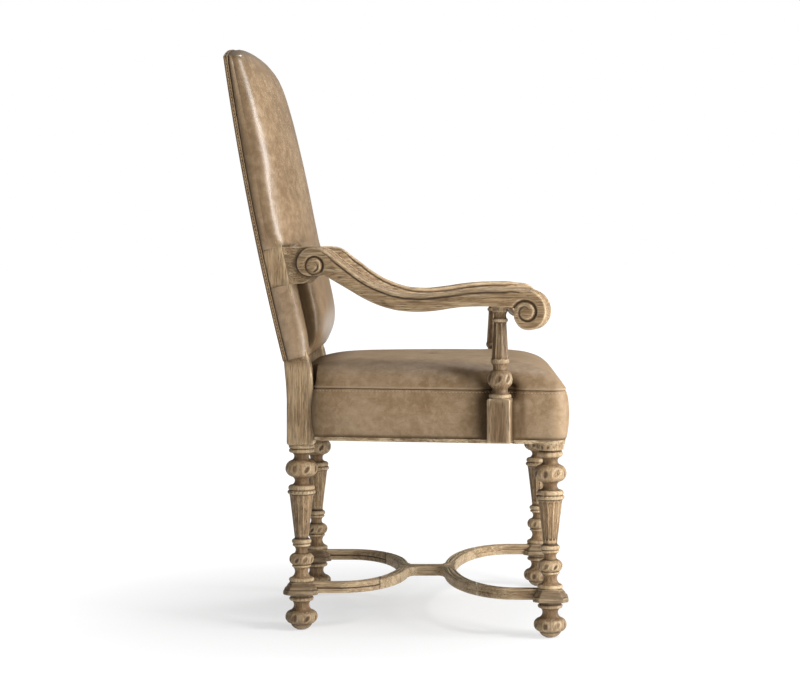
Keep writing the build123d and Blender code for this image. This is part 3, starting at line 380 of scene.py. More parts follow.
def turn_piece(bm, x, y, z, base_radius, turning, spins):
    """Turns a profile on the lathe and returns its points."""
    points = [(z, 0.0), (z, base_radius)]
    for height, radius, swell in turning:
        start = points[-1]
        points += arc(start, (start[0] + height, radius), swell)
    points.append((points[-1][0], 0.0))
    before = set(bm.verts)
    verts = [bm.verts.new((x + radius, y, height)) for height, radius in points]
    edges = [bm.edges.new(pair) for pair in zip(verts, verts[1:])]
    bmesh.ops.spin(
        bm, geom=verts + edges, cent=(x, y, 0), axis=(0, 0, 1), angle=2 * pi, steps=spins, use_merge=True
    )
    fresh = [v for v in bm.verts if v not in before]
    bmesh.ops.remove_doubles(bm, verts=fresh, dist=0.001)
    return [v for v in bm.verts if v not in before]


def push_in(v, x, y, depth):
    """Moves a point of a turning towards its axis."""
    out = Vector((v.co.x - x, v.co.y - y))
    if out.length > depth:
        out *= 1 - depth / out.length
        v.co.x, v.co.y = x + out.x, y + out.y


def dirt_and_shade_layer(bm):
    """The layer of a mesh that says how dark each point is made by dirt and by painted shade."""
    return bm.verts.layers.float.get("grime") or bm.verts.layers.float.new("grime")


def carve_flutes(verts, dirt_and_shade, x, y, low, high, count, depth, share=0.84, dark=0.3):
    """Cuts round-ended flutes up a column, each coloured darker towards its middle."""
    for v in verts:
        if low < v.co.z < high:
            radius = hypot(v.co.x - x, v.co.y - y)
            turn = atan2(v.co.y - y, v.co.x - x) * count / (2 * pi)
            across = 2 * abs(turn - round(turn)) / share
            half = share * pi * radius / count
            ends = max(0.0, 1 - min(v.co.z - low, high - v.co.z) / half)
            hollow = 1 - across * across - ends * ends
            if hollow > 0:
                push_in(v, x, y, depth * sqrt(hollow))
                v[dirt_and_shade] = max(v[dirt_and_shade], dark * sqrt(hollow))


def carve_marks(verts, dirt_and_shade, x, y, level, count, half_width, half_height, depth):
    """Cuts a row of slanted leaf-shaped hollows round a ball, each with a low lip and painted shade inside, darkest a
    little off its middle.
    """
    for v in verts:
        rise = (v.co.z - level) / half_height
        if abs(rise) < 1.6:
            radius = hypot(v.co.x - x, v.co.y - y)
            turn = atan2(v.co.y - y, v.co.x - x) * count / (2 * pi) + 0.5
            uneven = sin(12.9 * round(turn) + 0.37 * level + 4.1 * x)
            slant = 0.16 * rise * sin(7.3 * round(turn) + level)
            across = (turn - round(turn) - 0.05 * uneven - slant) * 2 * pi * radius / count / half_width
            reach = hypot(1.45 * across, (rise + 0.12 * uneven) * 0.85) * (1 + 0.12 * uneven)
            sunk = exp(-((reach / 0.78) ** 4)) - 0.08 * hump(reach - 1.18, 0.25)
            if abs(sunk) > 0.01:
                push_in(v, x, y, depth * sunk * (1 + 0.2 * uneven))
                # Painted shade in the hollow
                shaded = hump(hypot(1.7 * across + 0.3, rise - 0.2), 0.78)
                v[dirt_and_shade] = max(v[dirt_and_shade], (0.62 + 0.25 * uneven) * shaded)


def rounded_box(half_x, half_y, radius, steps=4, between=0):
    """Rounded rectangle as a ring of points, with some between its corners."""
    corners = []
    for quarter, (sx, sy) in enumerate(((1, 1), (-1, 1), (-1, -1), (1, -1))):
        for k in range(steps + 1):
            a = (quarter + k / steps) * pi / 2
            corners.append((sx * (half_x - radius) + radius * cos(a), sy * (half_y - radius) + radius * sin(a)))
    ring = []
    for k, point in enumerate(corners):
        ring.append(point)
        if k % (steps + 1) == steps:
            after = Vector(corners[(k + 1) % len(corners)])
            ring += [tuple(Vector(point).lerp(after, j / (between + 1))) for j in range(1, between + 1)]
    return ring


def tube(bm, path, radius, sides=10):
    """A round roll of leather along a path."""
    frames = []
    up = Vector((0.31, 0.2, 0.93)).normalized()
    for k, point in enumerate(path):
        along = (path[min(k + 1, len(path) - 1)] - path[max(k - 1, 0)]).normalized()
        up = (up - along * up.dot(along)).normalized()
        frames.append((point, up, along.cross(up)))

    def place(i, k):
        point, a, b = frames[k]
        turn = 2 * pi * i / sides
        return point + (a * cos(turn) + b * sin(turn)) * radius

    ring_skin(bm, sides, range(len(path)), place)


def stitch_row(bm, path, pitch, length, width, lift=0.0):
    """Lays short stitches along a path of (point, outward direction)."""
    points = [point for point, _ in path]
    walked = 0.0
    for k in range(1, len(points)):
        walked += (points[k] - points[k - 1]).length
        if walked < pitch:
            continue
        walked -= pitch
        along = (points[k] - points[k - 1]).normalized()
        out = path[k][1]
        out = (out - along * out.dot(along)).normalized()
        side = out.cross(along)
        place = Matrix((along * length / 2, side * width / 2, out * width / 2)).transposed().to_4x4()
        place.translation = points[k] + out * lift
        bmesh.ops.create_icosphere(bm, subdivisions=1, radius=1.0, matrix=place)


def point_values(mesh, what):
    """The places or the normals of a mesh's points, one row each."""
    values = np.empty(len(mesh.vertices) * 3)
    mesh.vertices.foreach_get(what, values)
    return values.reshape(-1, 3)


def mark_wear(mesh, reach, passes, broad=0.0022, rounds=36):
    """Stores on each point how far it stands proud of the surface beside it and further round it."""
    count = len(mesh.vertices)
    place, normal = point_values(mesh, "co"), point_values(mesh, "normal")
    edge = np.empty(len(mesh.edges) * 2, dtype=np.int64)
    mesh.edges.foreach_get("vertices", edge)
    a, b = edge.reshape(-1, 2).T
    ends = np.maximum(np.bincount(a, minlength=count) + np.bincount(b, minlength=count), 1)

    def around(values):
        return (np.bincount(a, values[b], count) + np.bincount(b, values[a], count)) / ends

    apart = place[a] - place[b]
    square = np.maximum((apart**2).sum(1), 1e-9)
    bend = np.bincount(a, (normal[a] * apart).sum(1) / square, count)
    bend -= np.bincount(b, (normal[b] * apart).sum(1) / square, count)
    wear = np.clip(bend / ends * reach, -1, 1)
    for _ in range(passes):
        wear = 0.4 * wear + 0.6 * around(wear)
    spread_out = place.copy()
    for _ in range(rounds):
        for axis in range(3):
            spread_out[:, axis] = around(spread_out[:, axis])
    proud = np.clip(((place - spread_out) * normal).sum(1) / broad, -1, 1)
    # The materials paint convex bends and proud places pale as wear, and concave bends and low places darker as painted
    # shade
    for name, values in (("wear", wear), ("proud", proud)):
        layer = mesh.attributes.new(name, "FLOAT", "POINT")
        layer.data.foreach_set("value", values.astype(np.float32))


def mark_by_place(mesh, name, amount):
    """Raises an attribute, such as the dirt and painted shade on each point, to an amount that depends on the place in
    millimetres.
    """
    layer = mesh.attributes.get(name) or mesh.attributes.new(name, "FLOAT", "POINT")
    for v in mesh.vertices:
        spot = layer.data[v.index]
        spot.value = min(1.0, max(spot.value, amount(*(v.co / MM))))


def streak(x, y, z):
    """Wavy upright streaks of a square post, from 0 to 1."""
    across = x + 1.3 * y
    coarse = sin(0.55 * across + 2.2 * sin(0.031 * z + 0.05 * across))
    fine = sin(1.27 * across + 1.6 * sin(0.052 * z))
    return 0.5 + 0.31 * (coarse + 0.6 * fine)


def evenly(amount):
    """The same amount all over, to darken or pale a whole piece."""
    return lambda x, y, z: amount


def remeshed(bm, voxel, rounds):
    """The mesh as one skin of small even faces, with its overlapping bodies joined and edges eased."""
    mesh = bpy.data.meshes.new("joining")
    bmesh.ops.recalc_face_normals(bm, faces=bm.faces)
    bm.to_mesh(mesh)
    bm.free()
    block = bpy.data.objects.new("joining", mesh)
    bpy.context.scene.collection.objects.link(block)
    join = block.modifiers.new("join", "REMESH")
    join.mode = "VOXEL"
    join.voxel_size = voxel
    ease = block.modifiers.new("ease", "SMOOTH")
    ease.factor = 0.5
    ease.iterations = rounds
    joined = bpy.data.meshes.new_from_object(block.evaluated_get(bpy.context.evaluated_depsgraph_get()))
    bpy.data.objects.remove(block)
    bpy.data.meshes.remove(mesh)
    bm = bmesh.new()
    bm.from_mesh(joined)
    bpy.data.meshes.remove(joined)
    return bm


def make_piece(name, bm, material, slot, nodes=(), wear=(0.006, 2), sharp=None, grime=None, pale=None):
    """Makes a mesh drawn in millimetres a piece of the chair that stands for CAD nodes."""
    bmesh.ops.recalc_face_normals(bm, faces=bm.faces)
    bmesh.ops.scale(bm, vec=(MM, MM, MM), verts=bm.verts)
    mesh = bpy.data.meshes.new(name)
    bm.to_mesh(mesh)
    bm.free()
    mesh.shade_smooth()
    if sharp:
        mesh.set_sharp_from_angle(angle=radians(sharp))
    mesh.materials.append(material)
    if wear:
        mark_wear(mesh, *wear)
    if grime:
        mark_by_place(mesh, "grime", grime)
    if pale:
        mark_by_place(mesh, "wear", pale)
    piece = bpy.data.objects.new(name, mesh)
    bpy.context.scene.collection.objects.link(piece)
    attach(piece, "root")
    if nodes:
        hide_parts(*nodes)
    return piece


def oak_piece(node, bm, turn=(0, 0, 0), shift=(0, 0, 0), shade=0.0, **finish):
    """Makes a mesh the oak piece that stands for one CAD node."""
    make_piece(f"oak_{node}", bm, oak_material(node, turn, shift, shade), "oak", [node], **finish)


def cut_off(bm, place, way):
    """Cuts off what lies beyond a plane through a place, and closes the cut."""
    cut = bmesh.ops.bisect_plane(
        bm, geom=bm.verts[:] + bm.edges[:] + bm.faces[:], dist=0.001, plane_co=place, plane_no=way, clear_outer=True
    )
    rim = [part for part in cut["geom_cut"] if isinstance(part, bmesh.types.BMEdge)]
    bmesh.ops.edgeloop_fill(bm, edges=rim)


def mirrored(bm):
    """A copy of a mesh on the other side of the chair."""
    other = bm.copy()
    bmesh.ops.scale(other, vec=(-1, 1, 1), verts=other.verts)
    bmesh.ops.reverse_faces(other, faces=other.faces)
    return other


# Materials

# Turns that bring the grain along the chair and across it
along_grain, across_grain = (pi / 2, 0, 0), (0, pi / 2, 0)


def add_node(tree, kind, inputs=None, **settings):
    """Adds a node, sets its settings and fills or links its inputs."""
    node = tree.nodes.new(kind)
    for key, value in settings.items():
        setattr(node, key, value)
    for key, value in (inputs or {}).items():
        if isinstance(value, bpy.types.NodeSocket):
            tree.links.new(value, node.inputs[key])
        else:
            node.inputs[key].default_value = value
    return node


def new_material(name):
    """An empty material with its tree and a shader joined to its output."""
    material = bpy.data.materials.new(name)
    material.use_nodes = True
    tree = material.node_tree
    tree.nodes.clear()
    shader = add_node(tree, "ShaderNodeBsdfPrincipled")
    output = add_node(tree, "ShaderNodeOutputMaterial")
    tree.links.new(shader.outputs["BSDF"], output.inputs["Surface"])
    return material, tree, shader


def grain_noise(tree, vector, scale, detail=4.0, roughness=0.55, distortion=0.0):
    """Noise that varies over the piece."""
    return add_node(
        tree,
        "ShaderNodeTexNoise",
        {"Vector": vector, "Scale": scale, "Detail": detail, "Roughness": roughness, "Distortion": distortion},
    ).outputs["Fac"]


def spread(tree, value, low, high, to_low=0.0, to_high=1.0):
    """Stretches a value's range, clamped."""
    return add_node(
        tree,
        "ShaderNodeMapRange",
        {"Value": value, "From Min": low, "From Max": high, "To Min": to_low, "To Max": to_high},
    ).outputs["Result"]


def mixed(tree, factor, first, second):
    """Mixes two colours."""
    return add_node(tree, "ShaderNodeMixRGB", {"Fac": factor, "Color1": first, "Color2": second}).outputs["Color"]


def layered(tree, colour, *layers):
    """Lays colours over a colour, each by its share."""
    for share, tone in layers:
        colour = mixed(tree, share, colour, tone)
    return colour


def times(tree, first, second, operation="MULTIPLY"):
    """Multiplies two values, or joins them by another operation."""
    return add_node(tree, "ShaderNodeMath", {0: first, 1: second}, operation=operation).outputs["Value"]


def weighed(tree, *parts):
    """Adds up values, each by its weight."""
    total, *others = [times(tree, value, weight) for value, weight in parts]
    for part in others:
        total = times(tree, total, part, "ADD")
    return total


def seen_by(tree, *rays):
    """1 for rays of these kinds and 0 for all others."""
    path = add_node(tree, "ShaderNodeLightPath")
    seen, *others = [path.outputs[f"Is {ray} Ray"] for ray in rays]
    for other in others:
        seen = times(tree, seen, other, "MAXIMUM")
    return seen


def mapped(tree, turn=(0, 0, 0), stretch=(1, 1, 1), shift=(0, 0, 0)):
    """Object coordinates, turned so that the grain runs along Z and stretched along it."""
    place = add_node(tree, "ShaderNodeTexCoord").outputs["Object"]
    turned = add_node(tree, "ShaderNodeMapping", {"Vector": place, "Rotation": turn, "Location": shift})
    return add_node(tree, "ShaderNodeMapping", {"Vector": turned.outputs["Vector"], "Scale": stretch}).outputs["Vector"]


def attribute(tree, name):
    """What a piece's points store under a name."""
    return add_node(tree, "ShaderNodeAttribute", attribute_name=name).outputs["Fac"]


def bumped(tree, shader, height, strength, distance):
    """Roughens the surface by a height."""
    bump = add_node(tree, "ShaderNodeBump", {"Height": height, "Strength": strength, "Distance": distance})
    tree.links.new(bump.outputs["Normal"], shader.inputs["Normal"])


def oak_material(name, turn=(0, 0, 0), shift=(0, 0, 0), shade=0.0):
    """Limed and weathered oak with its grain along one direction, stained by a share, with painted shade in its hollows
    and creases.
    """
    colours = bpy.context.scene.chair_colours
    tan, brown = Vector(colours.oak_tan), Vector(colours.oak_brown)
    lime, pore_and_shade_colour = tuple(colours.oak_lime), tuple(colours.oak_pore_and_shade)
    tan = tuple(tan.lerp(brown, 0.5 * shade) if shade > 0 else tan.lerp(Vector(lime), -0.5 * shade))
    brown = tuple(brown)
    material, tree, shader = new_material(name)
    even = mapped(tree, turn, (1, 1, 0.5), shift)
    broad = mapped(tree, turn, (1, 1, 0.22), shift)
    fine = mapped(tree, turn, (1, 1, 0.045), shift)
    figure = grain_noise(tree, broad, 28.0, 3.0, 0.5, 1.2)
    rings = add_node(
        tree,
        "ShaderNodeTexWave",
        {"Vector": broad, "Scale": 24.0, "Distortion": 10.0, "Detail": 3.0, "Detail Scale": 1.6},
        wave_type="BANDS",
        bands_direction="X",
    ).outputs["Fac"]
    streaks = grain_noise(tree, fine, 420.0, 5.0, 0.62)
    pores = grain_noise(tree, fine, 1050.0, 2.0, 0.5)
    tone = weighed(tree, (figure, 0.55), (rings, 0.26), (streaks, 0.55))
    stain = grain_noise(tree, even, 21.0, 5.0, 0.66, 0.9)
    whiting = grain_noise(tree, fine, 240.0, 4.0, 0.6)
    pore = times(tree, spread(tree, pores, 0.54, 0.64), spread(tree, rings, 0.2, 0.8, 0.45, 1.0))
    wear, proud, grime = (attribute(tree, kind) for kind in ("wear", "proud", "grime"))
    ragged = spread(tree, streaks, 0.34, 0.64, 0.25, 1.0)
    ragged = times(tree, ragged, spread(tree, grain_noise(tree, even, 46.0, 3.0), 0.40, 0.58, 0.35, 1.0))
    patchy = spread(tree, figure, 0.25, 0.62, 0.55, 1.0)
    stained = mixed(tree, streaks, pore_and_shade_colour, brown)
    soil_and_shade = tuple(Vector(pore_and_shade_colour).lerp(Vector(brown), 0.35))
    colour = layered(
        tree,
        mixed(tree, spread(tree, tone, 0.46, 0.88), brown, tan),
        (spread(tree, stain, 0.50, 0.66, max(0.0, shade), 0.66 + 0.34 * shade), stained),
        (spread(tree, whiting, 0.50, 0.68, 0.0, 0.55 - 0.4 * shade), lime),
        (pore, pore_and_shade_colour),
        (times(tree, spread(tree, wear, 0.10, 0.42, 0.0, 0.95), ragged), lime),
        (times(tree, spread(tree, proud, 0.38, 1.0, 0.0, 0.38), ragged), lime),
        # Painted shade in hollows and creases
        (times(tree, spread(tree, proud, 0.0, -0.8, 0.0, 0.72), patchy), brown),
        (times(tree, spread(tree, wear, -0.03, -0.25, 0.0, 1.0), patchy), pore_and_shade_colour),
        # Dirt and painted shade from the piece's own marks
        (times(tree, grime, spread(tree, streaks, 0.3, 0.7, 1.0, 0.6)), soil_and_shade),
    )
    tree.links.new(colour, shader.inputs["Base Color"])
    tree.links.new(spread(tree, streaks, 0.3, 0.7, 0.68, 0.42), shader.inputs["Roughness"])
    shader.inputs["Specular IOR Level"].default_value = 0.45
    bumped(tree, shader, weighed(tree, (streaks, 0.4), (pore, -1.0)), 0.6, 0.0006)
    return material


def leather_material(name, shift=(0, 0, 0), rough=(0.44, 0.56), made_paler=0.0, gloss=0.5, run=(1, 1, 0.1)):
    """Aged leather: mottled, with a fine grain, a soft sheen and rubbed edges, made paler by a share, with painted
    shade in its folds and creases.
    """
    colours = bpy.context.scene.chair_colours
    pale, deep = tuple(colours.leather_pale), tuple(colours.leather_deep)
    main = tuple(Vector(colours.leather).lerp(Vector(pale), made_paler))
    dark = tuple(Vector(colours.leather_dark).lerp(Vector(colours.leather), made_paler))
    material, tree, shader = new_material(name)
    place = mapped(tree, shift=shift)
    cloud = grain_noise(tree, place, 11.0, 5.0, 0.6, 0.6)
    mottle = grain_noise(tree, place, 62.0, 5.0, 0.62, 0.4)
    speckle = grain_noise(tree, place, 420.0, 3.0, 0.6)
    tone = weighed(tree, (cloud, 0.45), (mottle, 0.42), (speckle, 0.16))
    bleach = grain_noise(tree, place, 62.0, 8.0, 0.72, 0.7)
    scuff = grain_noise(tree, place, 110.0, 6.0, 0.75, 1.5)
    drawn = grain_noise(tree, mapped(tree, stretch=run, shift=shift), 210.0, 4.0, 0.6, 0.8)
    wear, proud, grime = (attribute(tree, kind) for kind in ("wear", "proud", "grime"))
    colour = layered(
        tree,
        mixed(tree, spread(tree, tone, 0.40, 0.62), dark, main),
        (spread(tree, bleach, 0.49, 0.74, 0.0, 0.42), pale),
        (spread(tree, scuff, 0.60, 0.72, 0.0, 0.55), dark),
        (spread(tree, drawn, 0.54, 0.68, 0.0, 0.34), dark),
        (spread(tree, wear, 0.12, 0.5, 0.0, 0.5), pale),
        # Painted shade in folds and creases
        (spread(tree, proud, -0.25, -1.0, 0.0, 0.6), deep),
        (spread(tree, wear, -0.06, -0.4, 0.0, 0.85), deep),
        # Dirt and painted shade from the piece's own marks
        (grime, deep),
    )
    tree.links.new(colour, shader.inputs["Base Color"])
    tree.links.new(spread(tree, mottle, 0.3, 0.7, *rough), shader.inputs["Roughness"])
    tree.links.new(spread(tree, grime, 0.0, 0.6, gloss, 0.03), shader.inputs["Specular IOR Level"])
    cells = add_node(
        tree, "ShaderNodeTexVoronoi", {"Vector": place, "Scale": 620.0, "Randomness": 1.0}, feature="F1"
    ).outputs["Distance"]
    creases = grain_noise(tree, place, 150.0, 4.0, 0.6, 1.0)
    bumped(tree, shader, weighed(tree, (cells, 0.5), (creases, 0.9)), 0.28, 0.0006)
    return material


def thread_material(name):
    """Waxed sewing thread."""
    colours = bpy.context.scene.chair_colours
    material, tree, shader = new_material(name)
    twist = grain_noise(tree, mapped(tree), 1600.0, 2.0)
    colour = mixed(tree, spread(tree, twist, 0.2, 0.5), tuple(colours.leather_dark), tuple(colours.thread))
    tree.links.new(colour, shader.inputs["Base Color"])
    shader.inputs["Roughness"].default_value = 0.7
    return material


def woven_material(name, dark, pale, pitch):
    """Plain woven cloth of two tones."""
    material, tree, shader = new_material(name)
    place = mapped(tree)
    warp, weft = (
        add_node(
            tree,
            "ShaderNodeTexWave",
            {"Vector": place, "Scale": 0.314 / pitch, "Distortion": 0.6, "Detail": 2.0},
            wave_type="BANDS",
            bands_direction=direction,
        ).outputs["Fac"]
        for direction in ("X", "Y")
    )
    weave = times(tree, warp, weft)
    tree.links.new(mixed(tree, spread(tree, weave, 0.05, 0.7), dark, pale), shader.inputs["Base Color"])
    shader.inputs["Roughness"].default_value = 0.9
    bumped(tree, shader, weave, 0.6, 0.0005)
    return material


def steel_material(name):
    """Zinc-plated steel."""
    material, tree, shader = new_material(name)
    spangle = grain_noise(tree, mapped(tree), 260.0, 4.0, 0.6)
    colour = mixed(tree, spread(tree, spangle, 0.35, 0.65), (0.34, 0.34, 0.35, 1), (0.56, 0.56, 0.57, 1))
    tree.links.new(colour, shader.inputs["Base Color"])
    tree.links.new(spread(tree, spangle, 0.3, 0.7, 0.28, 0.46), shader.inputs["Roughness"])
    shader.inputs["Metallic"].default_value = 1.0
    return material


# Sizes and colours that a user would change

class ChairSizes(bpy.types.PropertyGroup):
    """Sizes of the chair's dressing."""

    flutes: IntProperty(name="Flutes", description="Flutes round a leg column", default=12, min=6, max=24)
    flute_depth: FloatProperty(
        name="Flute depth", description="Depth of a flute", default=0.0012, min=0.0, max=0.004, unit="LENGTH"
    )
    ball_marks: IntProperty(name="Carved marks", description="Carved marks round a ball", default=8, min=4, max=16)
    mark_depth: FloatProperty(
        name="Mark depth", description="Depth of a carved mark", default=0.0022, min=0.0, max=0.004, unit="LENGTH"
    )
    stitch_pitch: FloatProperty(
        name="Stitch pitch", description="Length from stitch to stitch", default=0.0065, min=0.003, max=0.02,
        unit="LENGTH",
    )
    swell: FloatProperty(
        name="Cushion swell", description="Most that the stuffing pushes the leather out", default=0.007, min=0.0,
        max=0.02, unit="LENGTH",
    )


def colour_property(name, description, default):
    """A colour that a user would change."""
    return FloatVectorProperty(
        name=name, description=description, default=(*default, 1.0), size=4, min=0.0, max=1.0, subtype="COLOR"
    )


class ChairColours(bpy.types.PropertyGroup):
    """Colours of the chair's finishes."""

    oak_tan: colour_property("Oak", "Main colour of the oak", (0.405, 0.260, 0.129))
    oak_brown: colour_property("Oak shade", "Darker bands of the oak", (0.172, 0.098, 0.042))
    oak_lime: colour_property("Liming", "Pale liming on edges and in the grain", (0.61, 0.470, 0.295))
    oak_pore_and_shade: colour_property("Pores", "Dark pores and hollows of the oak", (0.045, 0.025, 0.011))
    leather: colour_property("Leather", "Main colour of the leather", (0.280, 0.182, 0.094))
    leather_dark: colour_property("Leather shade", "Darker mottling of the leather", (0.172, 0.104, 0.048))
    leather_pale: colour_property("Rubbed leather", "Leather where it is rubbed pale", (0.43, 0.314, 0.200))
    leather_deep: colour_property("Leather folds", "Leather in folds and scuffs", (0.045, 0.026, 0.012))
    thread: colour_property("Thread", "Sewing thread", (0.52, 0.39, 0.25))
    floor: colour_property("Floor", "Studio floor", (0.88, 0.88, 0.88))


def millimetres(size):
    """A size property in the meshes' millimetres."""
    return size / MM


def leg_corners():
    """The name, the place and the side of each corner that stands on a leg."""
    for end, x, y in (("front", front_leg_x, front_leg_y), ("rear", rear_leg_x, rear_leg_y)):
        for side, sign in both_sides:
            yield f"{end}_{side}", x, y, sign


class CHAIR_OT_feet(bpy.types.Operator):
    """Turn the four bun feet"""

    bl_idname = "chair.feet"
    bl_label = "Bun feet"

    def execute(self, context):
        sizes = context.scene.chair_sizes
        depth = millimetres(sizes.mark_depth)
        for corner, x, y, sign in leg_corners():
            bm = bmesh.new()
            dirt_and_shade = dirt_and_shade_layer(bm)
            verts = turn_piece(bm, sign * x, y, foot_z, foot_base, foot_turning, 108)
            carve_marks(verts, dirt_and_shade, sign * x, y, foot_ball_z, sizes.ball_marks, 9.0, 7.0, depth)
            oak_piece(f"foot_{corner}", bm, shift=(x, sign, y), shade=0.2, grime=evenly(0.12))
        return {"FINISHED"}


class CHAIR_OT_plinths(bpy.types.Operator):
    """Shape the four moulded plinths that join the legs and the stretcher"""

    bl_idname = "chair.plinths"
    bl_label = "Plinths"

    def execute(self, context):
        outline = []
        for sx, sy in ((1, 1), (-1, 1), (-1, -1), (1, -1)):
            a, b = Vector((plinth_half * sx, plinth_cant * sy)), Vector((plinth_cant * sx, plinth_half * sy))
            if sx != sy:
                a, b = b, a
            outline += [a.lerp(b, k / 4) for k in range(5)]
        for corner, x, y, sign in leg_corners():

            def place(i, level):
                z, inset = level
                scale = 1 - inset / plinth_half
                return sign * x + outline[i].x * scale, y + outline[i].y * scale, z

            bm = bmesh.new()
            ring_skin(bm, len(outline), plinth_profile, place)
            bmesh.ops.recalc_face_normals(bm, faces=bm.faces)
            sharp = [e for e in bm.edges if len(e.link_faces) == 2 and e.calc_face_angle() > 0.35]
            bmesh.ops.bevel(
                bm, geom=sharp, offset=0.5, segments=2, profile=0.5, affect="EDGES", material=-1, offset_type="OFFSET"
            )
            oak_piece(
                f"plinth_{corner}", bm, along_grain, (y, x, sign), 1.0, wear=(0.004, 1), sharp=50, grime=evenly(0.6)
            )
        return {"FINISHED"}


def carve_leg(verts, dirt_and_shade, x, y, keen=1.0):
    """Carves the flutes, the balls and the bead of one leg; keen is how much of the flutes is not worn off."""
    sizes = bpy.context.scene.chair_sizes
    depth = millimetres(sizes.mark_depth)
    flute_depth = millimetres(sizes.flute_depth) * keen
    carve_flutes(verts, dirt_and_shade, x, y, *leg_flutes, sizes.flutes, flute_depth, 0.93, 0.3 * keen)
    carve_marks(verts, dirt_and_shade, x, y, upper_ball_z, sizes.ball_marks, 9.4, 7.6, depth)
    carve_marks(verts, dirt_and_shade, x, y, lower_ball_z, sizes.ball_marks, 7.4, 5.4, depth * 0.8)
    carve_marks(verts, dirt_and_shade, x, y, leg_bead_z, 20, 2.8, 3.0, 0.7)


class CHAIR_OT_front_legs(bpy.types.Operator):
    """Turn and carve the two front legs"""

    bl_idname = "chair.front_legs"
    bl_label = "Front legs"

    def execute(self, context):
        block = rounded_box(front_block_half, front_block_half, 12.0)
        for side, sign in both_sides:
            x, y = sign * front_leg_x, front_leg_y
            bm = bmesh.new()
            dirt_and_shade = dirt_and_shade_layer(bm)
            verts = turn_piece(bm, x, y, leg_z, leg_base, leg_turning + front_capital, 120)
            carve_leg(verts, dirt_and_shade, x, y)
            carve_marks(verts, dirt_and_shade, x, y, front_bead_z, 14, 5.2, 3.6, 0.8)
            ring_skin(
                bm, len(block), (front_block_low, front_block_high),
                lambda i, z: (x + block[i][0], y + block[i][1], z),
            )
            oak_piece(f"front_leg_{side}", bm, shift=(sign, 3, 1))
        return {"FINISHED"}


class CHAIR_OT_rear_posts(bpy.types.Operator):
    """Turn the two rear legs and shape the raked stile above each"""

    bl_idname = "chair.rear_posts"
    bl_label = "Rear posts"

    def execute(self, context):
        front, rear = smooth_curve(rear_block_front), smooth_curve(rear_block_rear)
        section = rounded_box(1.0, 1.0, 0.14, 3, 8)
        levels = [360.0, 361.0, 362.6, 366.0] + [370.0 + 10 * k for k in range(15)]
        levels += [520.4, 522.0] + [530.0 + 8 * k for k in range(70)]
        for side, sign in both_sides:
            x, y = sign * rear_leg_x, rear_leg_y
            bm = bmesh.new()
            dirt_and_shade = dirt_and_shade_layer(bm)

            def place(i, z):
                a = front(z) if z < rear_block_front[-1][0] else rake(z) - stile_front
                b = rear(z) if z < rear_block_top else rake(z) - stile_behind
                # Bare beside the arm, and drawn in elsewhere, where leather covers it
                bare = fade(z, 640, 652) * (1 - fade(z, 755, 767))
                covered = fade(z, 521.5, 526) * (1 - bare)
                a += 10.0 * covered * fade(z, 545, 560) + 24.0 * fade(z, stile_top - 110, stile_top)
                inset = 3.0 * (1 - fade(z, 359.5, 363.5))
                half_x, half_y = half_block - inset - 6.0 * covered, (b - a) / 2 - inset
                return x + section[i][0] * half_x, (a + b) / 2 + section[i][1] * half_y, z

            ring_skin(bm, len(section), levels, place)
            verts = turn_piece(bm, x, y, leg_z, leg_base, leg_turning + rear_capital, 120)
            carve_leg(verts, dirt_and_shade, x, y, 0.55)
            oak_piece(f"rear_post_{side}", bm, shift=(sign, 7, 2), sharp=45, grime=self.grime)
        return {"FINISHED"}

    def grime(self, x, y, z):
        """Darker streaked grain on the post, most on the bare wood between the leather above and below the arm, and
        painted shadow along the leather's edges.
        """
        if z < 480:
            return 0.06 * streak(x, y, z) * (z > rear_block_z)
        level = z - (rake(z) - y) * 0.2
        bare = fade(level, patch_low - 6, patch_low + 2) * (1 - fade(level, patch_high - 2, patch_high + 6))
        # Painted shadow along the leather's edges above and below the bare wood
        edges = max(hump(level - patch_low, 4), hump(level - patch_high, 4)) * (z > 600)
        grain = streak(x, y, z)
        # Painted shadow under the leather's edge at the foot of the back
        return max((0.05 + 0.26 * grain) * bare + 0.5 * edges, 0.7 * hump(z - back_z, 5), 0.16 * grain)


class CHAIR_OT_arm_posts(bpy.types.Operator):
    """Turn the two arm posts on their square blocks"""

    bl_idname = "chair.arm_posts"
    bl_label = "Arm posts"

    def execute(self, context):
        depth = millimetres(context.scene.chair_sizes.mark_depth)
        block = rounded_box(post_block_half, post_block_half, 3.4, 3, 12)
        levels = [(372.8, 1.2), (374.0, 0.0)] + [(376.0 + 5.5 * k, 0.0) for k in range(15)]
        levels += [(455.6, 1.0), (post_block_top, 2.8)]
        for side, sign in both_sides:
            x, y = sign * post_x, post_y
            bm = bmesh.new()
            dirt_and_shade = dirt_and_shade_layer(bm)
            verts = turn_piece(bm, x, y, post_block_top, post_base, post_turning, 96)
            carve_flutes(verts, dirt_and_shade, x, y, *post_flutes, 8, 1.2, 0.9)
            carve_marks(verts, dirt_and_shade, x, y, post_ball_z, 7, 8.6, 7.4, depth)

            def place(i, level):
                z, inset = level
                scale = 1 - inset / post_block_half
                return x + block[i][0] * scale, y + block[i][1] * scale, z

            ring_skin(bm, len(block), levels, place)
            bmesh.ops.rotate(bm, cent=(x, y, 0), matrix=Matrix.Rotation(sign * splay, 3, "Z"), verts=bm.verts)
            oak_piece(
                f"arm_post_{side}", bm, shift=(sign, 5, 3), shade=0.5, sharp=50,
                grime=lambda x, y, z: 0.40 * streak(x, y, z) * (z < post_block_top - 1),
            )
        return {"FINISHED"}


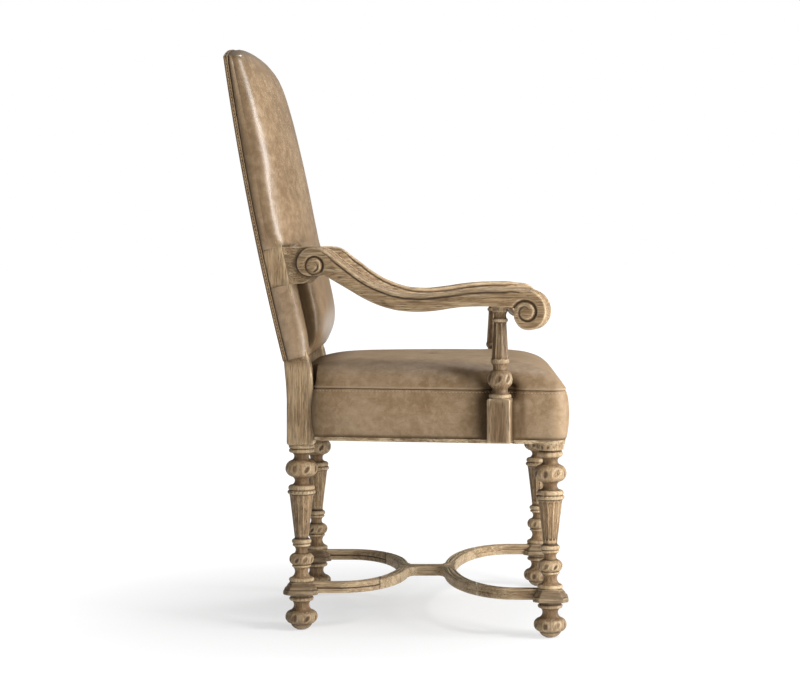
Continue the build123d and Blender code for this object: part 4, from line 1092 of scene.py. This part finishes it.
def scroll(bm, eye, outline, half):
    """One scroll of an arm: a disc with eased edges and a groove round its rim on each side."""
    outline = smooth_curve(outline)
    count = 160
    face = [(k / 12, 0.0, half) for k in range(1, 11)]
    face += [(1.0, 3.0 * (1 - sin(k * pi / 12)), half - 3.0 * (1 - cos(k * pi / 12))) for k in range(7)]
    rim = [(1.0, 1.8 * hump(abs(across) - 16.5, 3.0), across) for across in range(22, -23, -2)]
    levels = face + rim + [(share, inset, -across) for share, inset, across in reversed(face)]

    def place(i, level):
        share, inset, across = level
        turn = 2 * pi * i / count - pi
        r = share * outline(turn * 180 / pi) - inset
        return eye[0] + r * cos(turn), across, eye[1] + r * sin(turn)

    ring_skin(bm, count, levels, place)


def carve_scroll(bm, eye, spiral, strength, boss):
    """Cuts a spiral in both faces of a scroll, paints shade into its groove, and raises its eye."""
    dirt_and_shade = dirt_and_shade_layer(bm)
    first, last = spiral[0][0], spiral[-1][0]
    line, depth = smooth_curve(spiral), smooth_curve(strength)
    for v in bm.verts:
        run, across, z = v.co
        r = hypot(run - eye[0], z - eye[1])
        if r > 30 or abs(across) < 19:
            continue
        degrees = atan2(z - eye[1], run - eye[0]) * 180 / pi
        sunk = 0.0
        for turn in (degrees - 360, degrees, degrees + 360):
            if first <= turn <= last:
                sunk = max(sunk, depth(turn) * hump(r - line(turn), 2.7))
        # Painted shade in the groove of the spiral
        v[dirt_and_shade] = max(v[dirt_and_shade], min(0.8, 0.045 * sunk**2))
        sunk -= boss * max(0.0, 1 - (r / 17.0) ** 2) ** 0.5
        v.co.y -= sunk * fade(abs(across), 19, 23) * (1 if across > 0 else -1)


class CHAIR_OT_arms(bpy.types.Operator):
    """Carve the two moulded arms with a scroll at each end"""

    bl_idname = "chair.arms"
    bl_label = "Arms"

    def execute(self, context):
        low, bead = smooth_curve(arm_bottom), smooth_curve(arm_bead)
        side = [("low", 4 * k) for k in range(6)] + [("corner", k / 6) for k in range(1, 6)]
        side += [("side", k / 10) for k in range(1, 11)] + [("bead", -40 + 22 * k) for k in range(8)]
        side += [("top", 17.0 - 2.2 * k) for k in range(8)]
        section = [(kind, at, 1) for kind, at in side] + [("top", 0.0, 1)]
        section += [(kind, at, -1) for kind, at in reversed(side[1:])]

        def place(i, run):
            kind, at, way = section[i]
            bottom, edge = low(run), bead(run)
            flat = max(fade(run, 10, 30), fade(-run, 318, 340))
            if kind == "low":
                across, z = at, bottom
            elif kind == "corner":
                across, z = arm_half - 6.0 + 5.0 * sin(at * pi / 2), bottom + 5.0 * (1 - cos(at * pi / 2))
            elif kind == "side":
                across = arm_half - (0.8 - 0.8 * sin(pi * at**0.8) + 0.9 * fade(at, 0.82, 1.0)) * (1 - flat)
                z = bottom + 5.0 + (edge - 8.6 - bottom - 5.0) * at
            elif kind == "bead":
                across, z = arm_half - 4.0 + 4.0 * cos(radians(at)), edge - 4.0 + 4.0 * sin(radians(at))
            else:
                across, z = at, edge - 2.6 + 3.0 * cos(at / 17.0 * pi / 2)
            return run, across * way, z

        bm = bmesh.new()
        ring_skin(bm, len(section), [-356.0 + 2.0 * k for k in range(210)], place)
        scroll(bm, front_eye, front_scroll, arm_half)
        scroll(bm, rear_eye, rear_scroll, arm_half)
        # Root behind the rear scroll, up to the stile
        curve = [(-394.0 + 30 * sin(a * pi / 16), 702.8 - 30 * cos(a * pi / 16)) for a in range(9)]
        root = [(-445.0, 672.8)] + curve + [(-364.0, 744.2), (-445.0, 744.2)]
        ring_skin(
            bm, len(root), (0, 1),
            lambda i, inner: (root[i][0], arm_half if inner else 0.243 * (root[i][0] + arm_run) - 26.6, root[i][1]),
        )
        bm = remeshed(bm, 1.15, 2)
        carve_scroll(bm, front_eye, front_spiral, front_spiral_depth, 1.0)
        carve_scroll(bm, rear_boss, rear_spiral, rear_spiral_depth, 2.4)
        # The root is coloured darker, with painted shade on it round the rear scroll
        dirt_and_shade, outline = dirt_and_shade_layer(bm), smooth_curve(rear_scroll)
        for v in bm.verts:
            run, across, z = v.co
            if run < rear_eye[0] + 6 and across < 24:
                turn = atan2(z - rear_eye[1], run - rear_eye[0])
                apart = hypot(z - rear_eye[1], run - rear_eye[0]) - outline(turn * 180 / pi)
                if apart > -2.5 and abs(across) < 25.5:
                    v[dirt_and_shade] = max(v[dirt_and_shade], 0.30 + 0.6 * hump(max(0.0, apart), 7.0))
            v.co = arm_point(*v.co)
        slope = back_lean(arm_root_z)
        cut_off(bm, (0, rake(arm_root_z) - stile_front - joint_gap, arm_root_z), (0, cos(slope), -sin(slope)))
        bmesh.ops.recalc_face_normals(bm, faces=bm.faces)
        arms = ((bm, (0, 1, 2)), (mirrored(bm), (3, 1, 0)))
        for (side, sign), (arm, shift) in zip(both_sides, arms):
            oak_piece(f"arm_{side}", arm, (pi / 2, sign * arm_turn, 0), shift, -0.35, wear=(0.006, 3))
        return {"FINISHED"}


def bow_path(half_x, bow_y, depth, end_y, way):
    """Centre line of one half of a bow, from its plinth into the neck."""
    points = [(half_x, end_y), (half_x, bow_y)]
    last = radians(64)
    for k in range(1, 41):
        a = last * k / 40
        points.append((half_x * cos(a), bow_y + way * depth * sin(a)))
    start = Vector(points[-1])
    along = Vector((-half_x * sin(last), way * depth * cos(last))).normalized()
    end = Vector((neck_width / 4, bow_y + way * (depth + 26.0)))
    a, b = start + along * 66.0, end - Vector((0, way * 34.0))
    for k in range(1, 31):
        t = k / 30
        points.append(tuple(start * (1 - t) ** 3 + a * 3 * t * (1 - t) ** 2 + b * 3 * t * t * (1 - t) + end * t**3))
    points.append((neck_width / 4, neck_y + way * 2.0))
    return even_path(points, 2.5)


def plain_bow(half_x, bow_y, depth, way):
    """Centre line of the middle of a bow, past the neck."""
    turns = [radians(40 + 100 * k / 80) for k in range(81)]
    return even_path([(half_x * cos(a), bow_y + way * depth * sin(a)) for a in turns], 2.5)


def sweep_bar(bm, path, sign, width, plain=lambda k: 0.0, drop=0.0):
    """Sweeps the moulded section of the stretcher along a path; plain says how far its grooves are left out."""
    section = list(bar_section) + [(-share, z) for share, z in reversed(bar_section[1:-1])]
    normals = []
    for k in range(len(path)):
        along = (path[min(k + 1, len(path) - 1)] - path[max(k - 1, 0)]).normalized()
        normals.append(Vector((-along.y, along.x)))

    def place(i, k):
        share, z = section[i]
        filled = (1 if share > 0 else -1) if 0.88 < abs(share) and z < 88 else share
        level = bar_high - drop if z > 87 and abs(share) < 0.8 else min(z, bar_high - drop)
        share += (filled - share) * plain(k)
        z += (level - z) * plain(k)
        point = path[k] + normals[k] * share * width(k) / 2
        return sign * point.x, point.y, z

    ring_skin(bm, len(section), range(len(path)), place)


class CHAIR_OT_stretcher(bpy.types.Operator):
    """Bend the moulded stretcher and joint its bars to the knot"""

    bl_idname = "chair.stretcher"
    bl_label = "Stretcher"

    def execute(self, context):
        bows = (
            ("front", front_bow_x, front_bow_y, front_bow_depth, front_leg_y + 18.0, front_seam_y, 1),
            ("rear", rear_bow_x, rear_bow_y, rear_bow_depth, rear_leg_y - 18.0, rear_seam_y, -1),
        )
        knot = bmesh.new()
        for end, half_x, bow_y, depth, end_y, seam, way in bows:
            path = bow_path(half_x, bow_y, depth, end_y, way)
            narrow = len(path) - 30
            split = next(k for k, point in enumerate(path) if (point.y - seam) * way > 0)
            first, last = split - 8, split + 8
            for side, sign in both_sides:
                sweep_bar(
                    knot, path[first:], sign,
                    lambda k: bar_width + (neck_width / 2 - bar_width) * fade(k + first, narrow - 26, narrow + 12),
                    lambda k: fade(k + first, narrow - 4, narrow + 16),
                )
                bar = bmesh.new()
                sweep_bar(bar, path[:last], sign, lambda k: bar_width)
                cut_off(bar, (0, seam - joint_gap * way, 0), (0, way, 0))
                beside = {"pale" if way > 0 else "grime": lambda x, y, z: 0.9 * (abs(y - seam) < 2.4)}
                oak_piece(
                    f"stretcher_bar_{end}_{side}", bar, along_grain, (half_x, sign, 5), -0.5, wear=(0.004, 1), sharp=60,
                    **beside,
                )
            sweep_bar(knot, plain_bow(half_x, bow_y, depth, way), 1, lambda k: bar_width - 0.8, lambda k: 1.0, 1.6)
        ends = (front_bow_y + front_bow_depth, rear_bow_y - rear_bow_depth)
        sides = (
            (1.0, bar_low + 0.4), (0.0, bar_low + 1.6), (0.0, bar_high - 4.0), (1.2, bar_high - 2.2),
            (3.4, bar_high - 1.3),
        )
        ring = [(1, *at) for at in sides] + [(-1, *at) for at in reversed(sides)]
        flare = 22.0

        def neck(i, y):
            sign, inset, z = ring[i]
            half = neck_width / 2 - inset
            for end in ends:
                from_bow = min(max(abs(y - end) - bar_width / 2, 0.0), flare)
                half += flare - sqrt(flare**2 - (flare - from_bow) ** 2)
            return sign * half, y, z

        count = round((ends[1] - ends[0]) / 2)
        ring_skin(knot, len(ring), [ends[0] + (ends[1] - ends[0]) * k / count for k in range(count + 1)], neck)
        knot = remeshed(knot, 1.1, 2)
        cut_off(knot, (0, front_seam_y + joint_gap, 0), (0, -1, 0))
        cut_off(knot, (0, rear_seam_y - joint_gap, 0), (0, 1, 0))
        # Rubbed pale all over: painted light, as the knot lies in the seat's shade
        oak_piece("stretcher_knot", knot, along_grain, (4, 2, 5), -0.9, wear=(0.005, 2, 0.012), pale=evenly(0.62))
        return {"FINISHED"}


# Upholstery

def seat_plan():
    """Plan of the seat's edge from the middle of its rear to the middle of its front, on the left."""
    post_front = rear_leg_y - half_block - 0.6
    inner = rear_leg_x - half_block - 0.6
    return rounded_path(
        [
            (0, seat_rear, 0),
            (inner, seat_rear, 5.0),
            (inner, post_front, 2.0),
            (seat_side_x(post_front, half_block), post_front, 9.0),
            (seat_side_x(seat_front, half_block), seat_front, 24.0),
            (0, seat_front, 0),
        ],
        5.0,
    )


def swelled(piece, held, most, pressure=4.0, frames=20):
    """Blows up a cushion with a cloth simulation, holding the points that held picks, and caps the move."""
    mesh = piece.data
    before = point_values(mesh, "co")
    group = piece.vertex_groups.new(name="held")
    for v in mesh.vertices:
        if held(*(v.co / MM)):
            group.add([v.index], 1.0, "REPLACE")
    cloth = piece.modifiers.new("stuffing", "CLOTH")
    cloth.settings.use_pressure = True
    cloth.settings.uniform_pressure_force = pressure
    cloth.settings.effector_weights.gravity = 0.0
    cloth.settings.vertex_group_mass = "held"
    cloth.settings.quality = 2
    cloth.settings.tension_stiffness = cloth.settings.compression_stiffness = 12.0
    cloth.settings.bending_stiffness = 2.0
    cloth.collision_settings.use_collision = False
    scene = bpy.context.scene
    for number in range(1, frames + 1):
        scene.frame_set(number)
    shown = piece.evaluated_get(bpy.context.evaluated_depsgraph_get()).to_mesh()
    after = point_values(shown, "co")
    piece.to_mesh_clear()
    piece.modifiers.remove(cloth)
    piece.vertex_groups.remove(group)
    scene.frame_set(1)
    move = after - before
    length = np.maximum(np.linalg.norm(move, axis=1), 1e-9)
    move *= np.minimum(1.0, most / length)[:, None]
    mesh.vertices.foreach_set("co", (before + move).ravel())
    mesh.update()


class CHAIR_OT_seat(bpy.types.Operator):
    """Stuff and sew the leather seat"""

    bl_idname = "chair.seat"
    bl_label = "Seat"

    def execute(self, context):
        sizes = context.scene.chair_sizes
        half = seat_plan()
        plan = [Vector((p.x, p.y)) for p in half] + [Vector((-p.x, p.y)) for p in reversed(half[1:-1])]
        count = len(plan)
        outward = []
        for k in range(count):
            along = plan[(k + 1) % count] - plan[k - 1]
            outward.append(Vector((-along.y, along.x)).normalized())
        if outward[len(half) // 2].x < 0:
            outward = [-n for n in outward]
        # The crown closes on its middle
        middle = Vector((0.0, -75.0))
        along_side = Vector((-sin(splay), cos(splay)))
        post = Vector((post_x, post_y))
        crown = smooth_curve(crown_profile)
        corner_ease = 16.0

        def bite(point):
            """How far the leather is drawn in beside the arm post."""
            from_post = abs((Vector((abs(point.x), point.y)) - post).dot(along_side))
            if abs(point.x) < 200:
                return 0.0
            narrow = 1.0 if from_post < 24 else max(0.0, 1 - (from_post - 24) / 26) ** 1.7
            return 19.5 * narrow + 4.0 * hump(from_post, 62) * (1 - narrow)

        drawn = [bite(p) for p in plan]
        inwards = [Vector((-cos(splay) if p.x > 0 else cos(splay), -sin(splay))) for p in plan]
        levels = [("border", z, out) for z, out in seat_border]
        levels += [("crown", s, 0) for s in (0.988, 0.98, 0.97, 0.955, 0.94, 0.92, 0.90, 0.875, 0.85, 0.82)]
        levels += [("crown", 0.79 - 0.03 * k, 0) for k in range(26)] + [("crown", 0.01, 0)]

        def place(i, level):
            kind, at, out = level
            point = plan[i]
            if kind == "border":
                if out is None:
                    t = (at - border_low) / border_rise
                    out = 1.6 + border_swell * sin(pi * min(1, max(0, t))) ** 0.8
                # Low down the border gives way to the arm post only as far as it stands out
                pull = drawn[i] + (min(drawn[i], 1.2 + out) - drawn[i]) * (1 - fade(at, 446, 459))
                point = point + outward[i] * out + inwards[i] * pull
                return point.x, point.y, at
            flat = middle + (point - middle) * at
            side = (seat_side_x(flat.y, half_block) - abs(flat.x)) * cos(splay)
            edges = (side, flat.y - seat_front, seat_rear - flat.y)
            # The crown rises with the distance from the nearest edge, eased in the corners
            near = min(edges)
            soft = 0.0
            for edge in edges:
                soft += exp(-(edge - near) / corner_ease)
            inset = near - corner_ease * (soft - 1) * 0.35
            flat = flat + inwards[i] * drawn[i] * hump(max(0.0, near), 26.0)
            # It dips round the arm post
            hole = hypot(abs(flat.x) - post.x, flat.y - post.y)
            return flat.x, flat.y, crown(inset) - 9.0 * hump(hole, 44.0)

        bm = bmesh.new()
        ring_skin(bm, count, levels, place)
        # Made paler than the back's leather: painted light for the brighter light on the seat
        leather = leather_material("seat_leather", made_paler=0.6, gloss=0.4, run=(1, 0.1, 1))
        seat = make_piece(
            "leather_seat", bm, leather, "leather", ["seat_top_leather", "seat_border_leather", "seat_pad"], None
        )

        def held(x, y, z):
            near_post = hypot(abs(x) - post.x, y - post.y) < 62
            return z < 384 or 462 < z < 482 or y > 150 or near_post

        swelled(seat, held, sizes.swell)
        mark_wear(seat.data, 0.012, 3)

        # Painted shade on the seat: beside and round each arm post, towards the back, and in a hollow along the crown
        # under the arm; the border is also darker along its lowest edge
        def grime(x, y, z):
            along = (Vector((abs(x), y)) - post).dot(along_side)
            reach = 26.0 if along > 0 else 11.0
            beside = hump(max(0.0, abs(along) - 21.0), reach) if abs(x) > 250 and z < 482 else 0.0
            under = hump(hypot(abs(x) - post.x, (y - post.y) * (0.6 if y > post.y else 1.0)), 36.0)
            behind = fade(y, 96, 152) * (0.55 if z > 478 else 0.28)
            inset = (seat_side_x(y, half_block) - abs(x)) * cos(splay)
            hollow = hump(inset - 12.0 - 0.22 * along, 17.0) if z > 478 else 0.0
            hollow *= fade(along, 5, 30) * (1 - fade(along, 70, 190))
            hem = hump(max(0.0, z - 379.0), 4.0)
            return max(0.8 * beside, 0.75 * under, behind, 0.72 * hollow, 0.7 * hem)

        mark_by_place(seat.data, "grime", grime)

        path = []
        for k in list(range(count)) + [0]:
            point = plan[k] + outward[k] * 2.6 + inwards[k] * drawn[k]
            path.append((Vector((point.x, point.y, 466.6)), Vector((outward[k].x, outward[k].y, 0))))
        fine = []
        for (a, out), (b, _) in zip(path, path[1:]):
            fine += [(a.lerp(b, t / 5), out) for t in range(5)]
        bm = bmesh.new()
        stitch_row(bm, fine, millimetres(sizes.stitch_pitch), 4.2, 1.1, 0.1)
        make_piece("seat_stitches", bm, thread_material("seat_thread"), "leather", (), None)
        return {"FINISHED"}


class CHAIR_OT_back(bpy.types.Operator):
    """Stuff the leather back, and sew its panel and double welt behind"""

    bl_idname = "chair.back"
    bl_label = "Back"

    def execute(self, context):
        sizes = context.scene.chair_sizes
        crown, corner, fold = smooth_curve(back_crown), smooth_curve(back_corner), smooth_curve(folded_front)
        side_steps, corner_steps, front_steps = 11, 8, 56
        half = [("rear", k / 12) for k in range(12)]
        half += [("side", k / side_steps) for k in range(side_steps)]
        half += [("corner", k / corner_steps) for k in range(corner_steps)]
        half += [("front", (k / front_steps) ** 1.5) for k in range(front_steps)]
        ring = [(kind, at, 1) for kind, at in half] + [("front", 1.0, 1)]
        ring += [(kind, at, -1) for kind, at in reversed(half[1:])]
        heights = [back_z, 521.6, 524.0, 528.0, 533.0, 539.0] + [545.0 + 6.5 * k for k in range(17)]
        heights += [patch_low - 4.5, patch_low - 1.6, patch_low - 0.2, patch_low + 0.8]
        heights += [patch_low + 6 + 7.0 * k for k in range(10)]
        heights += [patch_high - 0.8, patch_high + 0.2, patch_high + 1.6, patch_high + 4.5]
        heights += [747.0 + 7.0 * k for k in range(47)]
        heights += [1080.0, 1087.0, 1094.0, 1101.0, 1108.0, 1114.0, 1120.0, 1126.0, 1131.0, 1135.0, 1138.5, 1141.0]
        heights += [back_top]
        levels = [(back_z, True)] + [(z, False) for z in heights] + [(back_top, True)]

        def place(i, level):
            z, shut = level
            kind, at, sign = ring[i]
            deep, edge = crown(z), corner(z)
            radius = min(25.0 + 11.0 * fade(z, 715, 790), (edge - stile_behind) * 0.72)
            # Below the arms the front is folded in behind its corners
            folded = fade(z, 526, 560) * (1 - fade(z, 700, 745))
            # The corner turns through less than a right angle, on to the slope of the front
            swung = atan(max(0.0, deep - edge) * 2.5 / half_back) * (1 - folded)
            # The first ring and the last close on the rear edge
            if shut:
                deep = edge = stile_behind + 0.2
                radius = 0.05
            # The sides round over into the top
            wide = half_back - 1.2 - 8.0 * (1 - sqrt(1 - min(1.0, max(0.0, (z - 1128.0) / 15.0)) ** 2))
            if kind == "rear":
                x, depth = wide * at, stile_behind
            elif kind == "side":
                x, depth = wide, stile_behind + (edge - radius - stile_behind) * at
                x += 1.8 * sin(pi * at) * (0 if shut else 1)
            else:
                a = (at if kind == "corner" else 1.0) * (pi / 2 - swung)
                x, depth = wide - radius + radius * cos(a), edge - radius + radius * sin(a)
                if kind == "front":
                    share = 1 - (1 - at) ** 2.5
                    share += (fold(at) - share) * (0 if shut else folded)
                    x, depth = x * (1 - at), depth + (deep - depth) * share
            # The leather is cut back from the bare wood of the stile
            if patch_low < z < min(patch_high, 746.0 - 0.2 * depth) and x > 184 and not shut:
                depth, x = min(depth, 42.0), min(x, 228.0)
            # Heights fall towards the sides with the arch of the top
            top = back_top - back_arch_rise * (x / half_back) ** 2
            high = back_z + (z - back_z) * (1 + (top - back_top) / (back_top - back_z) * fade(z, 640, 1143))
            return back_point(sign * x, depth, high - 2.6 * fade(z, 900, 1143))

        bm = bmesh.new()
        ring_skin(bm, len(ring), levels, place)
        bmesh.ops.remove_doubles(bm, verts=bm.verts, dist=0.02)
        leather = leather_material("back_leather", (3, 1, 2), (0.30, 0.40), 0.1, 1.0)
        back = make_piece("leather_back", bm, leather, "leather", ["back_leather", "back_pad"], None)

        def held(x, y, z):
            near_arm = abs(x) > 172 and 648 < z < 770
            return rake(z) - y < 46 or z < 536 or near_arm

        swelled(back, held, sizes.swell)
        mark_wear(back.data, 0.014, 3)

        # Painted shade on the back: in the fold below each arm, over the low crown beside it, where it also dims the
        # reflection, in a line over the arm root, over the side band above the arm and along the welt; the leather is
        # also darker along its bottom edge
        def grime(x, y, z):
            behind = (rake(z) - y) * 0.98
            level = z - behind * 0.2
            inwards = 1 - abs(x) / (half_back - 26.0)
            valley = fade(inwards, -0.07, 0.02) * (1 - fade(inwards, 0.075, 0.125)) * fade(behind, 30, 40)
            valley *= fade(level, 524, 548) * (1 - fade(level, 715, 735))
            low_crown = 0.19 * fade(inwards, 0.06, 0.12) + 0.22 * hump(inwards - 0.125, 0.035)
            low_crown *= 1 - fade(level, 640, 745)
            ledge = 0.62 * hump(z - 746.0, 5.0) * fade(behind, 36, 44) * fade(abs(x), 150, 185)
            hem = 0.6 * hump(max(0.0, level - back_z), 3.0)
            band = 0.29 * (1 - fade(behind, 33, 50)) * fade(level, 735, 765)
            seam = 0.58 * (1 - fade(behind, 11.2, 14.2))
            return max(0.9 * valley, hem, band, seam, low_crown, ledge)

        mark_by_place(back.data, "grime", grime)

        self.panel()
        self.welt(sizes)
        return {"FINISHED"}

    def panel(self):
        """Outside panel, slightly domed."""
        bm = bmesh.new()
        bmesh.ops.create_grid(bm, x_segments=48, y_segments=60, size=1.0)
        wide = half_back - 6.0
        for v in bm.verts:
            x = wide * v.co.x
            share = (v.co.y + 1) / 2
            top = back_top - 6.0 - back_arch_rise * (x / half_back) ** 2
            low = back_z + 6.0
            z = low + (top - low) * share
            edge = min(1 - abs(v.co.x), 1.6 * share, 1.6 * (1 - share))
            v.co = back_point(x, 7.5 - 4.6 * (1 - exp(-edge * 9)), z)
        bmesh.ops.solidify(bm, geom=bm.faces[:], thickness=2.0)
        leather = leather_material("panel_leather", (5, 4, 1))
        make_piece("leather_back_panel", bm, leather, "leather", ["back_panel"], (0.01, 2))

    def welt(self, sizes):
        """Double welt round the rear edge, with its row of stitches."""
        wide = half_back - 2.6
        top = back_top - back_arch_rise - 2.6
        paths = []
        for depth in (7.4, 3.4):
            arch = []
            for k in range(81):
                x = wide * (1 - k / 40)
                arch.append(back_point(x, depth, top + back_arch_rise * (1 - (x / wide) ** 2)))
            upright = [back_point(wide, depth, back_z + 2.4 + 6.0 * k) for k in range(97)]
            upright = [p for p in upright if p[2] < arch[0][2] - 10]
            points = upright + arch + [(-x, y, z) for x, y, z in reversed(upright)]
            paths.append(even_path([Vector(p) for p in points], 4.0))
        bm = bmesh.new()
        for path in paths:
            tube(bm, path, 2.2)
            low = [Vector((wide * (1 - k / 30), path[0].y, path[0].z)) for k in range(61)]
            tube(bm, even_path(low, 5.0), 2.2)
        leather = leather_material("welt_leather", (2, 6, 3))
        make_piece("leather_back_welt", bm, leather, "leather", ["back_welt"], None, grime=evenly(0.28))
        bm = bmesh.new()
        for _, sign in both_sides:
            row = [back_point(sign * (wide + 1.5), 5.4, back_z + 4.0 + 0.9 * k) for k in range(650)]
            row = [(Vector(p), Vector((sign, 0, 0))) for p in row if p[2] < top - 8]
            stitch_row(bm, row, millimetres(sizes.stitch_pitch), 5.2, 1.3)
        make_piece("back_stitches", bm, thread_material("back_thread"), "leather", (), None)


class CHAIR_OT_frame(bpy.types.Operator):
    """Finish the frame, webbing and fixings inside the chair"""

    bl_idname = "chair.frame"
    bl_label = "Inner frame"

    def execute(self, context):
        finishes = {"seat_moulding": oak_material("seat_moulding", along_grain, shade=-1.6)}
        for name in ("seat_rail_left", "seat_rail_right", "arm_dowels", "stretcher_dowels"):
            finishes[name] = oak_material(name, along_grain)
        for name in ("seat_rail_front", "seat_rail_rear", "corner_blocks", "back_crest_rail", "back_lower_rail"):
            finishes[name] = oak_material(name, across_grain)
        webbing = woven_material("jute_webbing", (0.10, 0.066, 0.032, 1), (0.30, 0.21, 0.12, 1), 0.0022)
        for name in ("seat_webbing_long", "seat_webbing_cross", "back_webbing"):
            finishes[name] = webbing
        finishes["seat_deck"] = woven_material("hessian", (0.14, 0.10, 0.05, 1), (0.42, 0.32, 0.19, 1), 0.0013)
        finishes["dust_cover"] = woven_material(
            "black_cambric", (0.004, 0.004, 0.004, 1), (0.02, 0.02, 0.02, 1), 0.0009
        )
        steel = steel_material("plated_steel")
        for name in ("corner_bolts", "arm_post_screws", "foot_glides"):
            finishes[name] = steel
        for name, material in finishes.items():
            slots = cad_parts[name].data.materials
            slots.clear()
            slots.append(material)
        return {"FINISHED"}


class CHAIR_OT_stage(bpy.types.Operator):
    """Set the floor, the light and the camera"""

    bl_idname = "chair.stage"
    bl_label = "Stage"

    def execute(self, context):
        scene = context.scene
        scene.view_settings.view_transform = "Standard"
        self.lay_floor(scene)
        self.set_light(scene)
        self.set_camera(scene)
        return {"FINISHED"}

    def lay_floor(self, scene):
        """A pale floor that takes the shadow near the chair and is plain white further off."""
        floor_colour = tuple(scene.chair_colours.floor)
        material, tree, shader = new_material("studio_floor")
        shader.inputs["Roughness"].default_value = 0.9
        shader.inputs["Specular IOR Level"].default_value = 0.1
        dust = grain_noise(tree, mapped(tree), 3.0, 3.0)
        pale = tuple(min(1.0, c * 1.02) for c in floor_colour[:3]) + (1.0,)
        tree.links.new(mixed(tree, dust, floor_colour, pale), shader.inputs["Base Color"])
        glow = add_node(tree, "ShaderNodeEmission", {"Color": (1, 1, 1, 1), "Strength": 1.1})
        apart = add_node(tree, "ShaderNodeVectorMath", {0: mapped(tree)}, operation="LENGTH").outputs["Value"]
        far = spread(tree, apart, 0.25, 0.9, 0.52, 1.0)
        plain = times(tree, seen_by(tree, "Camera", "Glossy", "Transmission"), far)
        both = add_node(
            tree, "ShaderNodeMixShader", {0: plain, 1: shader.outputs["BSDF"], 2: glow.outputs["Emission"]}
        )
        output = next(n for n in tree.nodes if n.type == "OUTPUT_MATERIAL")
        tree.links.new(both.outputs["Shader"], output.inputs["Surface"])
        bm = bmesh.new()
        bmesh.ops.create_grid(bm, x_segments=4, y_segments=4, size=floor_half)
        mesh = bpy.data.meshes.new("studio_floor")
        bm.to_mesh(mesh)
        bm.free()
        mesh.materials.append(material)
        floor = bpy.data.objects.new("studio_floor", mesh)
        scene.collection.objects.link(floor)

    def set_light(self, scene):
        """A dim room that looks white behind the chair, and the softboxes."""
        world = bpy.data.worlds.new("studio")
        scene.world = world
        world.use_nodes = True
        tree = world.node_tree
        tree.nodes.clear()
        seen = seen_by(tree, "Camera", "Transmission")
        around = add_node(tree, "ShaderNodeBackground", {"Color": (1, 1, 1, 1), "Strength": room_light})
        behind = add_node(tree, "ShaderNodeBackground", {"Color": (1, 1, 1, 1), "Strength": 1.0})
        both = add_node(
            tree, "ShaderNodeMixShader", {0: seen, 1: around.outputs["Background"], 2: behind.outputs["Background"]}
        )
        output = add_node(tree, "ShaderNodeOutputWorld")
        tree.links.new(both.outputs["Shader"], output.inputs["Surface"])

        for name, place, size, power in softboxes:
            lamp = bpy.data.lights.new(name, "AREA")
            lamp.shape = "RECTANGLE"
            lamp.size, lamp.size_y = size
            lamp.energy = power
            holder = bpy.data.objects.new(name, lamp)
            holder.location = place
            holder.rotation_euler = (light_aim - Vector(place)).to_track_quat("-Z", "Y").to_euler()
            holder.visible_glossy = name != "side_softbox"
            scene.collection.objects.link(holder)

    def set_camera(self, scene):
        """A level camera square to the chair's side, as in the photograph."""
        lens = bpy.data.cameras.new("camera")
        lens.sensor_fit = "HORIZONTAL"
        lens.sensor_width = 36.0
        lens.lens = camera_lens
        lens.shift_x, lens.shift_y = camera_shift
        camera = bpy.data.objects.new("camera", lens)
        camera.location = camera_place
        camera.rotation_euler = (pi / 2, 0, -pi / 2)
        scene.collection.objects.link(camera)
        scene.camera = camera


operators = (
    CHAIR_OT_stage, CHAIR_OT_frame, CHAIR_OT_feet, CHAIR_OT_plinths, CHAIR_OT_front_legs, CHAIR_OT_rear_posts,
    CHAIR_OT_arm_posts, CHAIR_OT_arms, CHAIR_OT_stretcher, CHAIR_OT_seat, CHAIR_OT_back,
)


class CHAIR_PT_panel(bpy.types.Panel):
    """Steps that dress the armchair"""

    bl_idname = "CHAIR_PT_panel"
    bl_label = "Dining Armchair"
    bl_space_type = "VIEW_3D"
    bl_region_type = "UI"
    bl_category = "Armchair"

    def draw(self, context):
        layout = self.layout
        for group in (context.scene.chair_sizes, context.scene.chair_colours):
            for key in group.__annotations__:
                layout.prop(group, key)
        for operator in operators:
            layout.operator(operator.bl_idname)


classes = (ChairSizes, ChairColours, *operators, CHAIR_PT_panel)


def register():
    for kind in classes:
        bpy.utils.register_class(kind)
    bpy.types.Scene.chair_sizes = PointerProperty(type=ChairSizes)
    bpy.types.Scene.chair_colours = PointerProperty(type=ChairColours)


def unregister():
    del bpy.types.Scene.chair_colours
    del bpy.types.Scene.chair_sizes
    for kind in reversed(classes):
        bpy.utils.unregister_class(kind)


def main():
    register()
    for operator in operators:
        group, name = operator.bl_idname.split(".")
        getattr(getattr(bpy.ops, group), name)()
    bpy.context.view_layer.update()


if __name__ == "__main__":
    main()
